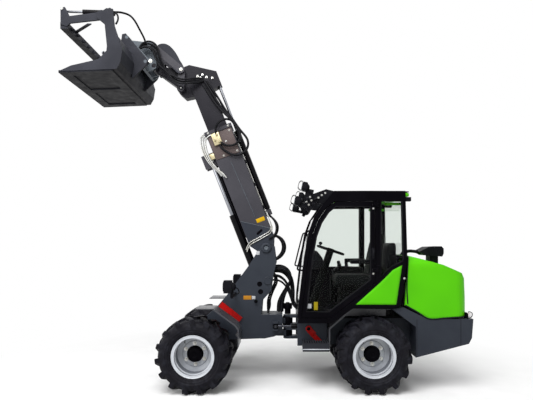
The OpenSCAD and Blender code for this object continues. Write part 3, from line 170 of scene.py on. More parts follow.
class Surface:
    """A shader tree in the making, with the pieces that most finishes share."""

    def __init__(self, name: str) -> None:
        """Starts an empty material of that name."""
        self.material = bpy.data.materials.new(name)
        self.material.use_nodes = True
        self.tree = self.material.node_tree
        self.tree.nodes.clear()
        self.out = node(self.tree, "ShaderNodeOutputMaterial")
        self.place = node(self.tree, "ShaderNodeTexCoord").outputs["Object"]

    def noise(self, size_mm: float, detail: float = 3.0, stretch: Sequence[float] = (1, 1, 1)) -> bpy.types.NodeSocket:
        """Gives a noise value whose blotches measure about a size in millimetres.

        Args:
            size_mm: Size of a blotch.
            detail: Octaves of finer detail.
            stretch: Factors on the pattern's frequency along X, Y and Z.

        Returns:
            The noise's factor output.
        """
        place = self.place
        if tuple(stretch) != (1, 1, 1):
            place = node(self.tree, "ShaderNodeMapping", {"Vector": place, "Scale": stretch}).outputs[0]
        return node(self.tree, "ShaderNodeTexNoise",
                    {"Vector": place, "Scale": 1.0 / (size_mm * MM), "Detail": detail}).outputs["Fac"]

    def ramp(self, value: bpy.types.NodeSocket, low: float, high: float, to_low: float = 0.0,
             to_high: float = 1.0) -> bpy.types.NodeSocket:
        """Maps a value's range onto another range, cut off at both ends."""
        return node(self.tree, "ShaderNodeMapRange", {"Value": value, "From Min": low, "From Max": high,
                                                      "To Min": to_low, "To Max": to_high}).outputs[0]

    def mix(self, fac: bpy.types.NodeSocket, first: Any, second: Any) -> bpy.types.NodeSocket:
        """Mixes two colours by a factor."""
        return node(self.tree, "ShaderNodeMix", {"Factor": fac, 6: first, 7: second},
                    data_type="RGBA").outputs[2]

    def bump(self, height: bpy.types.NodeSocket, depth_mm: float, strength: float = 1.0,
             normal: Optional[bpy.types.NodeSocket] = None) -> bpy.types.NodeSocket:
        """Gives a bumped normal from a height.

        Args:
            height: The height's socket, from 0 to 1.
            depth_mm: Depth of the relief in millimetres.
            strength: Share of the relief that shows.
            normal: Normal that it is laid on, where that isn't the mesh's own.

        Returns:
            The normal's socket.
        """
        inputs: dict = {"Height": height, "Distance": depth_mm * MM, "Strength": strength}
        if normal is not None:
            inputs["Normal"] = normal
        return node(self.tree, "ShaderNodeBump", inputs).outputs[0]

    def facing(self, axis: str) -> bpy.types.NodeSocket:
        """Gives how far a face looks along one of the object's axes."""
        normal = node(self.tree, "ShaderNodeTexCoord").outputs["Normal"]
        return node(self.tree, "ShaderNodeSeparateXYZ", {0: normal}).outputs[axis]

    def soft_edges(self, radius_mm: float) -> bpy.types.NodeSocket:
        """Gives a normal that rounds hard edges by a radius in millimetres."""
        return node(self.tree, "ShaderNodeBevel", {"Radius": radius_mm * MM}, samples=4).outputs[0]

    def close(self, **inputs: Any) -> bpy.types.Material:
        """Ends the tree in a Principled shader with these inputs.

        Args:
            inputs: Values or sockets by the input's name, with underscores for spaces.

        Returns:
            The finished material.
        """
        shader = node(self.tree, "ShaderNodeBsdfPrincipled", {k.replace("_", " "): v for k, v in inputs.items()})
        self.tree.links.new(shader.outputs[0], self.out.inputs[0])
        self.shader = shader
        return self.material


class Finish:
    """Base of the finishes: each makes its material once."""

    made: dict = {}

    def material(self) -> bpy.types.Material:
        """Gives the finish's material, made at its first use.

        Returns:
            The material.
        """
        if self not in Finish.made:
            Finish.made[self] = self.build()
        return Finish.made[self]

    def build(self) -> bpy.types.Material:
        """Builds the material's tree."""
        raise NotImplementedError


@dataclass(frozen=True)
class PowderCoat(Finish):
    """Powder-coated steel: an even satin skin with orange peel, faint dust and softly lit edges."""

    name: str
    colour: str
    dusty: str
    roughness: float = 0.42
    edge_mm: float = 5.0
    shine: float = 0.16
    # Colour of painted shade on the faces that look down, where the finish has one
    under: Optional[str] = None

    def build(self) -> bpy.types.Material:
        """Builds satin paint whose shade drifts over a hand's breadth and whose peel is a few millimetres wide.

        Returns:
            The material; where the finish has a colour for undersides, painted shade darkens the faces that look down.
        """
        s = Surface(self.name)
        drift = s.ramp(s.noise(420, 4.0), 0.38, 0.72)
        scuff = s.ramp(s.noise(34, 6.0, (1, 1, 0.35)), 0.6, 0.78, 0.0, 0.35)
        tone = s.mix(drift, linear(self.colour), linear(self.dusty))
        tone = s.mix(scuff, tone, linear(self.dusty))
        # Faces that look down are darkened towards that colour: painted shade
        if self.under:
            tone = s.mix(s.ramp(s.facing("Z"), -0.25, -0.6), tone, linear(self.under))
        rough = s.ramp(s.noise(90, 5.0), 0.3, 0.7, self.roughness - 0.07, self.roughness + 0.1)
        peel = s.bump(s.noise(5, 2.0), 0.12, 0.5, s.soft_edges(self.edge_mm))
        return s.close(Base_Color=tone, Roughness=rough, Normal=peel, Specular_IOR_Level=self.shine)


@dataclass(frozen=True)
class GlossPanel(Finish):
    """Moulded panel in gloss lacquer: deep colour under a clear coat with long soft waves."""

    name: str
    colour: str
    deep: str
    edge_mm: float = 1.0

    def build(self) -> bpy.types.Material:
        """Builds a lacquered panel, whose waves of a few centimetres bend the reflections a little.

        Returns:
            The material.
        """
        s = Surface(self.name)
        tone = s.mix(s.ramp(s.noise(650, 2.0), 0.35, 0.7), linear(self.colour), linear(self.deep))
        rough = s.ramp(s.noise(60, 4.0), 0.3, 0.75, 0.3, 0.42)
        wave = s.bump(s.noise(45, 2.0), 0.25, 0.35, s.soft_edges(self.edge_mm))
        return s.close(Base_Color=tone, Roughness=rough, Normal=wave, Specular_IOR_Level=0.15, Coat_Weight=0.08,
                       Coat_Roughness=0.12)


@dataclass(frozen=True)
class MouldedPlastic(Finish):
    """Injection-moulded ABS or polypropylene with a fine eroded grain."""

    name: str
    colour: str
    pale: str
    roughness: float = 0.5
    grain_mm: float = 4.0
    shine: float = 0.16

    def build(self) -> bpy.types.Material:
        """Builds grained plastic; the grain of about 1 mm is drawn coarser so that it shows.

        Returns:
            The material.
        """
        s = Surface(self.name)
        tone = s.mix(s.ramp(s.noise(180, 4.0), 0.4, 0.75), linear(self.colour), linear(self.pale))
        cells = node(s.tree, "ShaderNodeTexVoronoi", {"Vector": s.place, "Scale": 1 / (self.grain_mm * MM)})
        grain = s.bump(cells.outputs["Distance"], 0.25, 0.35, s.soft_edges(4.0))
        rough = s.ramp(s.noise(70, 3.0), 0.3, 0.7, self.roughness - 0.08, self.roughness + 0.1)
        return s.close(Base_Color=tone, Roughness=rough, Normal=grain, Specular_IOR_Level=self.shine)


@dataclass(frozen=True)
class TyreRubber(Finish):
    """Vulcanised tyre rubber: bluish black, dull, with dust in the hollows of its mould marks."""

    name: str = "vulcanised tyre rubber"
    colour: str = "#0F0E15"
    dust: str = "#2D2E36"

    def build(self) -> bpy.types.Material:
        """Builds dull rubber, dusted in patches a few centimetres wide.

        Returns:
            The material.
        """
        s = Surface(self.name)
        dust = s.ramp(s.noise(75, 6.0), 0.48, 0.78, 0.0, 0.75)
        tone = s.mix(dust, linear(self.colour), linear(self.dust))
        rough = s.ramp(s.noise(30, 4.0), 0.3, 0.7, 0.52, 0.78)
        skin = s.bump(s.noise(9, 5.0), 0.6, 0.5, s.soft_edges(7.0))
        return s.close(Base_Color=tone, Roughness=rough, Normal=skin, Specular_IOR_Level=0.16)


@dataclass(frozen=True)
class PlainRubber(Finish):
    """Extruded rubber of hoses, seals and mats: black and half dull."""

    name: str = "extruded black rubber"
    colour: str = "#0E0E12"
    pale: str = "#1C1C21"
    rough: float = 0.46

    def build(self) -> bpy.types.Material:
        """Builds hose rubber with a fine wrap pattern of about 6 mm.

        Returns:
            The material.
        """
        s = Surface(self.name)
        tone = s.mix(s.ramp(s.noise(60, 4.0), 0.45, 0.75), linear(self.colour), linear(self.pale))
        wrap = s.bump(s.noise(6, 3.0), 0.3, 0.4)
        rough = s.ramp(s.noise(40, 3.0), 0.3, 0.7, self.rough - 0.08, self.rough + 0.12)
        return s.close(Base_Color=tone, Roughness=rough, Normal=wrap, Specular_IOR_Level=0.12)


@dataclass(frozen=True)
class BareMetal(Finish):
    """Metal with a drawn, plated or brushed surface."""

    name: str
    colour: str
    stain: str
    roughness: float
    stretch: tuple = (1, 1, 1)
    grain_mm: float = 12.0
    relief: float = 0.25

    def build(self) -> bpy.types.Material:
        """Builds metal whose streaks follow the way it was drawn or brushed.

        Returns:
            The material.
        """
        s = Surface(self.name)
        streak = s.noise(self.grain_mm, 5.0, self.stretch)
        tone = s.mix(s.ramp(s.noise(120, 3.0), 0.4, 0.75), linear(self.colour), linear(self.stain))
        rough = s.ramp(streak, 0.3, 0.7, max(0.03, self.roughness - 0.07), self.roughness + 0.09)
        return s.close(Base_Color=tone, Roughness=rough, Metallic=1.0,
                       Normal=s.bump(streak, 0.05, self.relief))


@dataclass(frozen=True)
class SilverPaint(Finish):
    """Silver wheel lacquer: pale flake under a satin coat."""

    name: str = "silver wheel lacquer"
    colour: str = "#DDE1E7"
    shade: str = "#BFC3CB"
    # Colour of painted shade on the faces that don't look along the axle
    barrel_shade: str = "#6E727A"

    def build(self) -> bpy.types.Material:
        """Builds flake drawn coarser than the real one so that it shows, and painted shade on the walls round the axle.

        Returns:
            The material.
        """
        s = Surface(self.name)
        tone = s.mix(s.ramp(s.noise(130, 4.0), 0.4, 0.8), linear(self.colour), linear(self.shade))
        flat = node(s.tree, "ShaderNodeMath", {0: s.facing("Y")}, operation="ABSOLUTE").outputs[0]
        # Faces that don't look along Y, like the walls round the axle, are darkened: painted shade
        tone = s.mix(s.ramp(flat, 0.85, 0.35), tone, linear(self.barrel_shade))
        rough = s.ramp(s.noise(4, 2.0), 0.3, 0.7, 0.3, 0.46)
        flake = s.bump(s.noise(7, 2.0), 0.1, 0.4, s.soft_edges(3.0))
        return s.close(Base_Color=tone, Roughness=rough, Metallic=0.15, Normal=flake)


@dataclass(frozen=True)
class CabGlass(Finish):
    """Tempered float glass with the pale green of its iron."""

    name: str = "tempered float glass"
    colour: str = "#EDF1EE"

    def build(self) -> bpy.types.Material:
        """Builds clear glass; its index is low, as on panes that mirror next to nothing of their surroundings.

        Returns:
            The material, which lets the light of lamps and of other surfaces through without bending it.
        """
        s = Surface(self.name)
        ripple = s.bump(s.noise(900, 1.0), 0.02, 0.1)
        s.close(Base_Color=linear(self.colour), Roughness=0.0, IOR=1.12, Transmission_Weight=1.0, Normal=ripple)
        path = node(s.tree, "ShaderNodeLightPath")
        passing = node(s.tree, "ShaderNodeMath", {0: path.outputs["Is Shadow Ray"], 1: path.outputs["Is Diffuse Ray"]},
                       operation="MAXIMUM").outputs[0]
        clear = node(s.tree, "ShaderNodeBsdfTransparent", {"Color": linear(self.colour)})
        both = node(s.tree, "ShaderNodeMixShader", {0: passing, 1: s.shader.outputs[0], 2: clear.outputs[0]})
        s.tree.links.new(both.outputs[0], s.out.inputs[0])
        return s.material


@dataclass(frozen=True)
class LampLens(Finish):
    """Moulded polycarbonate lens with upright prisms."""

    name: str
    colour: str

    def build(self) -> bpy.types.Material:
        """Builds a glossy lens whose prisms are 9 mm wide.

        Returns:
            The material.
        """
        s = Surface(self.name)
        prism = node(s.tree, "ShaderNodeTexWave", {"Vector": s.place, "Scale": 2 * math.pi / (20 * 9 * MM)},
                     bands_direction="Y").outputs["Fac"]
        tone = s.mix(prism, linear(self.colour), linear("#F2F4F5"))
        return s.close(Base_Color=tone, Roughness=0.1, Normal=s.bump(prism, 1.2, 0.6), Coat_Weight=0.6)


@dataclass(frozen=True)
class SeatCloth(Finish):
    """Woven polyester seat cloth with a coarse rib."""

    name: str = "woven polyester seat cloth"
    colour: str = "#08090B"
    rib: str = "#131517"

    def build(self) -> bpy.types.Material:
        """Builds a weave of crossing ribs; the real 2 mm spacing is drawn at 6 mm so that it shows.

        Returns:
            The material.
        """
        s = Surface(self.name)
        scale = 2 * math.pi / (20 * 6 * MM)
        warp = node(s.tree, "ShaderNodeTexWave", {"Vector": s.place, "Scale": scale, "Distortion": 0.6},
                    bands_direction="Y").outputs["Fac"]
        weft = node(s.tree, "ShaderNodeTexWave", {"Vector": s.place, "Scale": scale, "Distortion": 0.6},
                    bands_direction="DIAGONAL").outputs["Fac"]
        cross = node(s.tree, "ShaderNodeMath", {0: warp, 1: weft}, operation="MULTIPLY").outputs[0]
        tone = s.mix(cross, linear(self.colour), linear(self.rib))
        return s.close(Base_Color=tone, Roughness=0.85, Normal=s.bump(cross, 0.8, 0.6), Sheen_Weight=0.06,
                       Specular_IOR_Level=0.1)


ANTHRACITE = PowderCoat("anthracite powder coat", "#31353E", "#3A3F47")
BOOM_COAT = PowderCoat("anthracite boom coat", "#403F45", "#4B4A50")
# The tool coat's last colour is painted shade on its undersides
TOOL_COAT = PowderCoat("anthracite tool coat", "#33343A", "#3E3F46", 0.45, 5.0, 0.06, "#131217")
INNER_COAT = PowderCoat("dark inner boom coat", "#1C1B21", "#29282E", 0.4, 5.0, 0.12)
PALE_COAT = PowderCoat("pale grey hitch coat", "#5F666E", "#71787F")
BLACK_COAT = PowderCoat("black powder coat", "#060509", "#0C0B10", 0.34, 5.0, 0.03)
AXLE_COAT = PowderCoat("black axle coat", "#131317", "#222226", 0.5, 5.0, 0.12)
RED_COAT = PowderCoat("red powder coat", "#B80E0C", "#9A0C0A", 0.4)
BARREL_COAT = PowderCoat("black cylinder lacquer", "#08070B", "#100F13", 0.25, 2.0, 0.1)
STEP_COAT = PowderCoat("dark step coat", "#22242A", "#2E3036")
COLLAR_COAT = PowderCoat("brown grey collar coat", "#5C504F", "#6A5E5C")
LIME = GlossPanel("lime lacquered panel", "#61DA00", "#58CC00", 40.0)
GRAINED = MouldedPlastic("grained black moulding", "#0C0C11", "#17171C", 0.5, 4.0, 0.08)
GUARD = PowderCoat("anthracite mudguard coat", "#3A3B41", "#4A4B50", 0.3, 8.0, 0.55)
INTERIOR = MouldedPlastic("interior moulding", "#060808", "#0D0F0F", 0.6, 4.0, 0.04)
IRON = PowderCoat("cast iron with primer", "#3A3B3E", "#4A4B4E", 0.65)
TYRE = TyreRubber()
RUBBER = PlainRubber()
SILVER = SilverPaint()
GLASS = CabGlass()
CHROME = BareMetal("hard chrome on ground steel", "#96989E", "#7F8288", 0.1, (1, 1, 1), 30.0, 0.02)
NITRIDED = BareMetal("nitrided steel rod", "#3C3D42", "#323338", 0.25, (1, 1, 1), 30.0, 0.02)
ZINC = BareMetal("bright zinc plate", "#C3C4C2", "#A9A69C", 0.3, (1, 1, 1), 12.0, 0.08)
GOLD_ZINC = BareMetal("yellow zinc plate", "#C2B794", "#A69A76", 0.42, (1, 1, 1), 12.0, 0.08)
ALUMINIUM = BareMetal("rolled aluminium tread", "#BFC2C5", "#A2A5A8", 0.36, (0.1, 1, 1), 6.0)
CLEAR_LENS = LampLens("clear lamp lens", "#8F989E")
RED_LENS = LampLens("red lamp lens", "#B01015")
YELLOW_PLATE = GlossPanel("blank yellow plate", "#E0B00C", "#D5A60A")
FADED_PLATE = GlossPanel("blank faded yellow plate", "#A8960E", "#97860B")
AMBER_PLATE = GlossPanel("blank amber plate", "#C98A28", "#BD7F22")
PALE_PLATE = GlossPanel("blank pale plate", "#C9CBCE", "#BCBEC2")
CLOTH = SeatCloth()


class Form:
    """A mesh in the making, in metres in the frame of the solids."""

    def __init__(self, name: str) -> None:
        """Starts an empty mesh for a piece of that name."""
        self.name = name
        self.bm = bmesh.new()

    def sweep(self, points: Sequence[Vector], radius_mm: float, sides: int = 10, closed: bool = False,
              smooth: int = 6) -> "Form":
        """Draws a round bar, pipe or hose along a smooth line through points.

        Args:
            points: Places the line goes through, in metres.
            radius_mm: Radius of the bar.
            sides: Faces around it.
            closed: Whether the line ends where it starts.
            smooth: Steps between two points.

        Returns:
            The form itself.
        """
        line = spline(points, closed, smooth)
        count = len(line)
        rings = []
        normal = None
        for i, p in enumerate(line):
            before = line[i - 1] if closed or i else line[0]
            after = line[(i + 1) % count] if closed or i < count - 1 else line[-1]
            aim = (after - before).normalized()
            if normal is None:
                normal = aim.orthogonal().normalized()
            normal = (normal - aim * normal.dot(aim)).normalized()
            across = aim.cross(normal)
            rings.append([self.bm.verts.new(p + radius_mm * MM * (
                normal * math.cos(2 * math.pi * k / sides) + across * math.sin(2 * math.pi * k / sides)))
                for k in range(sides)])
        for i in range(count if closed else count - 1):
            a, b = rings[i], rings[(i + 1) % count]
            # A closed line may come back turned, so its last ring joins the nearest corner
            turn = 0
            if closed and i == count - 1:
                turn = min(range(sides), key=lambda t: (a[0].co - b[t].co).length)
            for k in range(sides):
                self.bm.faces.new((a[k], a[(k + 1) % sides], b[(k + 1 + turn) % sides], b[(k + turn) % sides]))
        if not closed:
            self.bm.faces.new(rings[0][::-1])
            self.bm.faces.new(rings[-1])
        return self

    def lathe(self, profile: Sequence[tuple[float, float]], centre: Vector, axis: Vector, steps: int = 40) -> "Form":
        """Turns a profile about an axis.

        Args:
            profile: Radius and place along the axis, in millimetres, from one end of the axis to the other.
            centre: Zero of the places along the axis.
            axis: Direction of the axis.
            steps: Faces around it.

        Returns:
            The form itself.
        """
        aim = axis.normalized()
        u = aim.orthogonal().normalized()
        v = aim.cross(u)
        rings = []
        for r, h in profile:
            middle = centre + aim * h * MM
            if r < 1e-6:
                rings.append([self.bm.verts.new(middle)])
            else:
                rings.append([self.bm.verts.new(middle + r * MM * (u * math.cos(t) + v * math.sin(t)))
                              for t in (2 * math.pi * k / steps for k in range(steps))])
        for a, b in zip(rings, rings[1:]):
            for k in range(steps):
                n = (k + 1) % steps
                corners = [a[k % len(a)], a[n % len(a)], b[n % len(b)], b[k % len(b)]]
                unique = [c for i, c in enumerate(corners) if c not in corners[:i]]
                if len(unique) > 2:
                    self.bm.faces.new(unique)
        return self

    def slab(self, outline: Sequence[Vector], thick: Vector, bevel_mm: float = 0.0, segments: int = 2) -> "Form":
        """Draws a plate from its outline and its thickness, with rounded edges.

        Args:
            outline: Corners of one face, in metres.
            thick: Step from that face to the other.
            bevel_mm: Rounding of the edges.
            segments: Faces across the rounding.

        Returns:
            The form itself.
        """
        low = [self.bm.verts.new(p) for p in outline]
        high = [self.bm.verts.new(Vector(p) + thick) for p in outline]
        faces = [self.bm.faces.new(low[::-1]), self.bm.faces.new(high)]
        for i in range(len(low)):
            n = (i + 1) % len(low)
            faces.append(self.bm.faces.new((low[i], low[n], high[n], high[i])))
        if bevel_mm:
            edges = list({e for f in faces for e in f.edges})
            bmesh.ops.bevel(self.bm, geom=edges, offset=bevel_mm * MM, segments=segments, profile=0.5,
                            affect="EDGES", clamp_overlap=True)
        return self

    def box(self, low: Vector, high: Vector, bevel_mm: float = 6.0, segments: int = 3) -> "Form":
        """Draws a box with rounded edges between two corners.

        Args:
            low: Its lowest corner.
            high: Its highest corner.
            bevel_mm: Rounding of the edges.
            segments: Faces across the rounding.

        Returns:
            The form itself.
        """
        corners = ((low.x, low.y), (high.x, low.y), (high.x, high.y), (low.x, high.y))
        outline = [Vector((x, y, low.z)) for x, y in corners]
        return self.slab(outline, Vector((0, 0, high.z - low.z)), bevel_mm, segments)

    def absorb(self, mesh: bpy.types.Mesh) -> "Form":
        """Adds a finished mesh."""
        self.bm.from_mesh(mesh)
        return self

    def join(self, part: "Form", place: Matrix) -> "Form":
        """Adds another form, moved to its place.

        Args:
            part: The other form, which is used up.
            place: Where it goes.

        Returns:
            The form itself.
        """
        mesh = bpy.data.meshes.new(part.name)
        part.moved(place).bm.to_mesh(mesh)
        part.bm.free()
        self.absorb(mesh)
        bpy.data.meshes.remove(mesh)
        return self

    def merged(self) -> "Form":
        """Joins corners that lie on each other."""
        bmesh.ops.remove_doubles(self.bm, verts=self.bm.verts, dist=1e-5)
        return self

    def moved(self, matrix: Matrix) -> "Form":
        """Moves all that is drawn so far."""
        bmesh.ops.transform(self.bm, matrix=matrix, verts=self.bm.verts)
        return self

    def piece(self, finish: Finish, body: Optional[str], slot: Optional[str] = None,
              angle: float = 38.0) -> bpy.types.Object:
        """Ends the form as an object that rides on a body, or on none.

        Args:
            finish: What it is made of.
            body: Name of the body it moves with.
            slot: The record's material slot, where it has one; not used.
            angle: Edges sharper than this stay sharp.

        Returns:
            The object.
        """
        bmesh.ops.recalc_face_normals(self.bm, faces=self.bm.faces)
        mesh = bpy.data.meshes.new(self.name)
        self.bm.to_mesh(mesh)
        self.bm.free()
        return place_mesh(self.name, mesh, finish, body, angle)


def place_mesh(name: str, mesh: bpy.types.Mesh, finish: Finish, body: Optional[str],
               angle: float = 38.0) -> bpy.types.Object:
    """Makes an object of a mesh and lets it ride on a body, or on none.

    Args:
        name: Name of the piece.
        mesh: Its mesh.
        finish: What it is made of.
        body: Name of the body it moves with.
        angle: Edges sharper than this stay sharp.

    Returns:
        The object.
    """
    mesh.shade_smooth()
    mesh.set_sharp_from_angle(angle=math.radians(angle))
    mesh.materials.clear()
    mesh.materials.append(finish.material())
    obj = bpy.data.objects.new(name, mesh)
    bpy.context.scene.collection.objects.link(obj)
    if body:
        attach(obj, body)
    LOG.info("%s on %s: %d faces", name, body, len(mesh.polygons))
    return obj


def spline(points: Sequence[Vector], closed: bool = False, steps: int = 6) -> list[Vector]:
    """Gives points of a smooth line through places.

    Args:
        points: The places.
        closed: Whether the line ends where it starts.
        steps: Points for each stretch between two places; 1 keeps the places as they are.

    Returns:
        The line's points.
    """
    places = [Vector(p) for p in points]
    count = len(places)
    if steps < 2 or count < 3:
        return places
    line = []
    for i in range(count if closed else count - 1):
        p1, p2 = places[i], places[(i + 1) % count]
        p0 = places[i - 1] if closed or i else p1 * 2 - p2
        p3 = places[(i + 2) % count] if closed or i + 2 < count else p2 * 2 - p1
        for k in range(steps):
            t = k / steps
            line.append(0.5 * (2 * p1 + (p2 - p0) * t + (2 * p0 - 5 * p1 + 4 * p2 - p3) * t * t
                               + (3 * p1 - p0 - 3 * p2 + p3) * t ** 3))
    if not closed:
        line.append(places[-1])
    return line


class Shape(Enum):
    """What a repeat is made of."""

    HEX_NUT = "hex nut with washer"
    BUTTON = "raised tread button"
    SLAT = "louvre slat"
    PATTERN = "a shape of its own"


class Repeat:
    """Many like small things on one body, made by Geometry Nodes from points that carry an aim."""

    def __init__(self, name: str, shape: Shape, width_mm: float, height_mm: float) -> None:
        """Starts a set with no places.

        Args:
            name: Name of the piece.
            shape: What stands at each place.
            width_mm: Its width, across the flats of a nut.
            height_mm: How far it stands up.
        """
        self.name, self.shape = name, shape
        self.sizes = {"Width": width_mm * MM, "Height": height_mm * MM}
        self.places: list[tuple[Vector, Vector, Vector]] = []
        self.pattern: Optional[bpy.types.Object] = None

    def like(self, form: "Form") -> "Repeat":
        """Takes a form as the repeated thing, for the shape that is its own pattern.

        Args:
            form: The form, which is used up.

        Returns:
            The set itself.
        """
        mesh = bpy.data.meshes.new(self.name + "_pattern")
        bmesh.ops.recalc_face_normals(form.bm, faces=form.bm.faces)
        form.bm.to_mesh(mesh)
        form.bm.free()
        self.pattern = bpy.data.objects.new(self.name + "_pattern", mesh)
        bpy.context.scene.collection.objects.link(self.pattern)
        return self

    def add(self, place: Vector, aim: Vector, side: Vector = Vector((0, 1, 0))) -> "Repeat":
        """Adds a place, the direction that the thing stands up in and the one its own Y points in."""
        self.places.append((place, aim.normalized(), side))
        return self

    def ring(self, centre: Vector, axis: Vector, radius_mm: float, count: int, phase: float = 0.0) -> "Repeat":
        """Adds places round an axis, all of them facing along it.

        Args:
            centre: Middle of the ring.
            axis: Direction of the axis.
            radius_mm: Radius of the ring.
            count: How many places.
            phase: Angle of the first one in radians.

        Returns:
            The set itself.
        """
        aim = axis.normalized()
        u = aim.orthogonal().normalized()
        v = aim.cross(u)
        for k in range(count):
            t = phase + 2 * math.pi * k / count
            self.add(centre + radius_mm * MM * (u * math.cos(t) + v * math.sin(t)), aim)
        return self

    def solid(self, tree: bpy.types.NodeTree, width: Any, height: Any) -> bpy.types.NodeSocket:
        """Builds the repeated thing, standing on the ground plane.

        Args:
            tree: The geometry tree.
            width: Socket of the width.
            height: Socket of the height.

        Returns:
            The geometry's socket.
        """
        def times(value: Any, factor: float) -> bpy.types.NodeSocket:
            """Scales a size."""
            return node(tree, "ShaderNodeMath", {0: value, 1: factor}, operation="MULTIPLY").outputs[0]

        def raised(geometry: Any, lift: Any) -> bpy.types.NodeSocket:
            """Lifts a shape along its own axis."""
            shift = node(tree, "ShaderNodeCombineXYZ", {"Z": lift}).outputs[0]
            return node(tree, "GeometryNodeTransform", {"Geometry": geometry, "Translation": shift}).outputs[0]

        if self.shape is Shape.PATTERN:
            return node(tree, "GeometryNodeObjectInfo", {"Object": self.pattern}).outputs["Geometry"]
        if self.shape is Shape.BUTTON:
            cone = node(tree, "GeometryNodeMeshCone", {"Vertices": 10, "Radius Top": times(width, 0.34),
                                                       "Radius Bottom": times(width, 0.5), "Depth": height})
            return cone.outputs[0]
        if self.shape is Shape.SLAT:
            size = node(tree, "ShaderNodeCombineXYZ", {"X": times(height, 0.16), "Y": width, "Z": height}).outputs[0]
            return node(tree, "GeometryNodeMeshCube", {"Size": size}).outputs[0]
        washer = node(tree, "GeometryNodeMeshCylinder", {"Vertices": 14, "Radius": times(width, 0.86),
                                                         "Depth": times(height, 0.3)}).outputs[0]
        head = node(tree, "GeometryNodeMeshCone", {"Vertices": 6, "Radius Top": times(width, 0.5),
                                                   "Radius Bottom": times(width, 0.577), "Depth": height}).outputs[0]
        stud = node(tree, "GeometryNodeMeshCone", {"Vertices": 8, "Radius Top": times(width, 0.2),
                                                   "Radius Bottom": times(width, 0.25),
                                                   "Depth": times(height, 0.4)}).outputs[0]
        joined = node(tree, "GeometryNodeJoinGeometry")
        for part in (washer, raised(head, times(height, 0.2)), raised(stud, times(height, 1.1))):
            tree.links.new(part, joined.inputs[0])
        return joined.outputs[0]

    def tree(self, finish: Finish) -> bpy.types.NodeTree:
        """Builds the tree that puts the thing at each place, realizes it and gives it its finish.

        Args:
            finish: What the things are made of.

        Returns:
            The geometry tree.
        """
        tree = bpy.data.node_groups.new(self.name, "GeometryNodeTree")
        tree.interface.new_socket("Geometry", in_out="INPUT", socket_type="NodeSocketGeometry")
        for size in self.sizes:
            tree.interface.new_socket(size, in_out="INPUT", socket_type="NodeSocketFloat")
        tree.interface.new_socket("Geometry", in_out="OUTPUT", socket_type="NodeSocketGeometry")
        given = node(tree, "NodeGroupInput")
        aim = node(tree, "GeometryNodeInputNamedAttribute", {"Name": "aim"}, data_type="FLOAT_VECTOR").outputs[0]
        side = node(tree, "GeometryNodeInputNamedAttribute", {"Name": "side"}, data_type="FLOAT_VECTOR").outputs[0]
        turn = node(tree, "FunctionNodeAlignRotationToVector", {"Vector": aim}, axis="Z").outputs[0]
        turn = node(tree, "FunctionNodeAlignRotationToVector", {"Rotation": turn, "Vector": side}, axis="Y",
                    pivot_axis="Z").outputs[0]
        points = node(tree, "GeometryNodeMeshToPoints", {"Mesh": given.outputs["Geometry"]}).outputs[0]
        thing = self.solid(tree, given.outputs["Width"], given.outputs["Height"])
        copies = node(tree, "GeometryNodeInstanceOnPoints", {"Points": points, "Instance": thing, "Rotation": turn})
        real = node(tree, "GeometryNodeRealizeInstances", {"Geometry": copies.outputs[0]}).outputs[0]
        dressed = node(tree, "GeometryNodeSetMaterial", {"Geometry": real, "Material": finish.material()}).outputs[0]
        node(tree, "NodeGroupOutput", {"Geometry": dressed})
        return tree

    def mesh(self, finish: Finish) -> bpy.types.Mesh:
        """Makes one plain mesh of all the things and removes what it was made from.

        Args:
            finish: What they are made of.

        Returns:
            The mesh.
        """
        seed = bpy.data.meshes.new(self.name)
        seed.from_pydata([place for place, _, _ in self.places], [], [])
        for name, column in (("aim", 1), ("side", 2)):
            values = seed.attributes.new(name, "FLOAT_VECTOR", "POINT")
            for i, row in enumerate(self.places):
                values.data[i].vector = row[column]
        holder = bpy.data.objects.new(self.name + "_points", seed)
        bpy.context.scene.collection.objects.link(holder)
        modifier = holder.modifiers.new("repeat", "NODES")
        modifier.node_group = self.tree(finish)
        for item in modifier.node_group.interface.items_tree:
            if item.in_out == "INPUT" and item.name in self.sizes:
                modifier[item.identifier] = self.sizes[item.name]
        evaluated = holder.evaluated_get(bpy.context.evaluated_depsgraph_get())
        mesh = bpy.data.meshes.new_from_object(evaluated)
        bpy.data.objects.remove(holder)
        if self.pattern:
            bpy.data.objects.remove(self.pattern)
        return mesh

    def piece(self, finish: Finish, body: str) -> bpy.types.Object:
        """Makes an object of all the things, which rides on a body."""
        return place_mesh(self.name, self.mesh(finish), finish, body)


def pin_end(form: Form, centre: Vector, side: int, radius_mm: float) -> Form:
    """Draws the end of a cross pin with its keeper washer.

    Args:
        form: The form it is added to.
        centre: Middle of the face it lies on.
        side: 1 for the left side, -1 for the right.
        radius_mm: Radius of the pin.

    Returns:
        The form.
    """
    r = radius_mm
    profile = [(0, -4), (1.7 * r, -4), (1.7 * r, 5), (1.55 * r, 7), (1.08 * r, 7), (1.0 * r, 12), (0.86 * r, 15),
               (0.3 * r, 15), (0.22 * r, 11), (0, 11)]
    return form.lathe(profile, centre, Vector((0, side, 0)), 28)


def outermost(name: str, side: int) -> float:
    """Gives how far a node reaches to one side, as a place in millimetres."""
    low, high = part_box(name)
    return (high.y if side > 0 else low.y) / MM


def lands(place: Vector, side: int, *names: str) -> Vector:
    """Gives the point where a line across the machine first meets one of some solids.

    Args:
        place: Any point of the line.
        side: 1 to come from the left, -1 from the right.
        names: Nodes that may carry the point.

    Returns:
        The nearest point met from that side.
    """
    met = []
    for name in names:
        mesh = frame["nodes"][name].data
        tree = BVHTree.FromPolygons([v.co for v in mesh.vertices], [p.vertices for p in mesh.polygons])
        hit = tree.ray_cast(Vector((place.x, side * 3.0, place.z)), Vector((0, -side, 0)))[0]
        if hit is not None:
            met.append(hit)
    if not met:
        raise ValueError(f"nothing of {names} at {tuple(place)}")
    return max(met, key=lambda p: side * p.y)


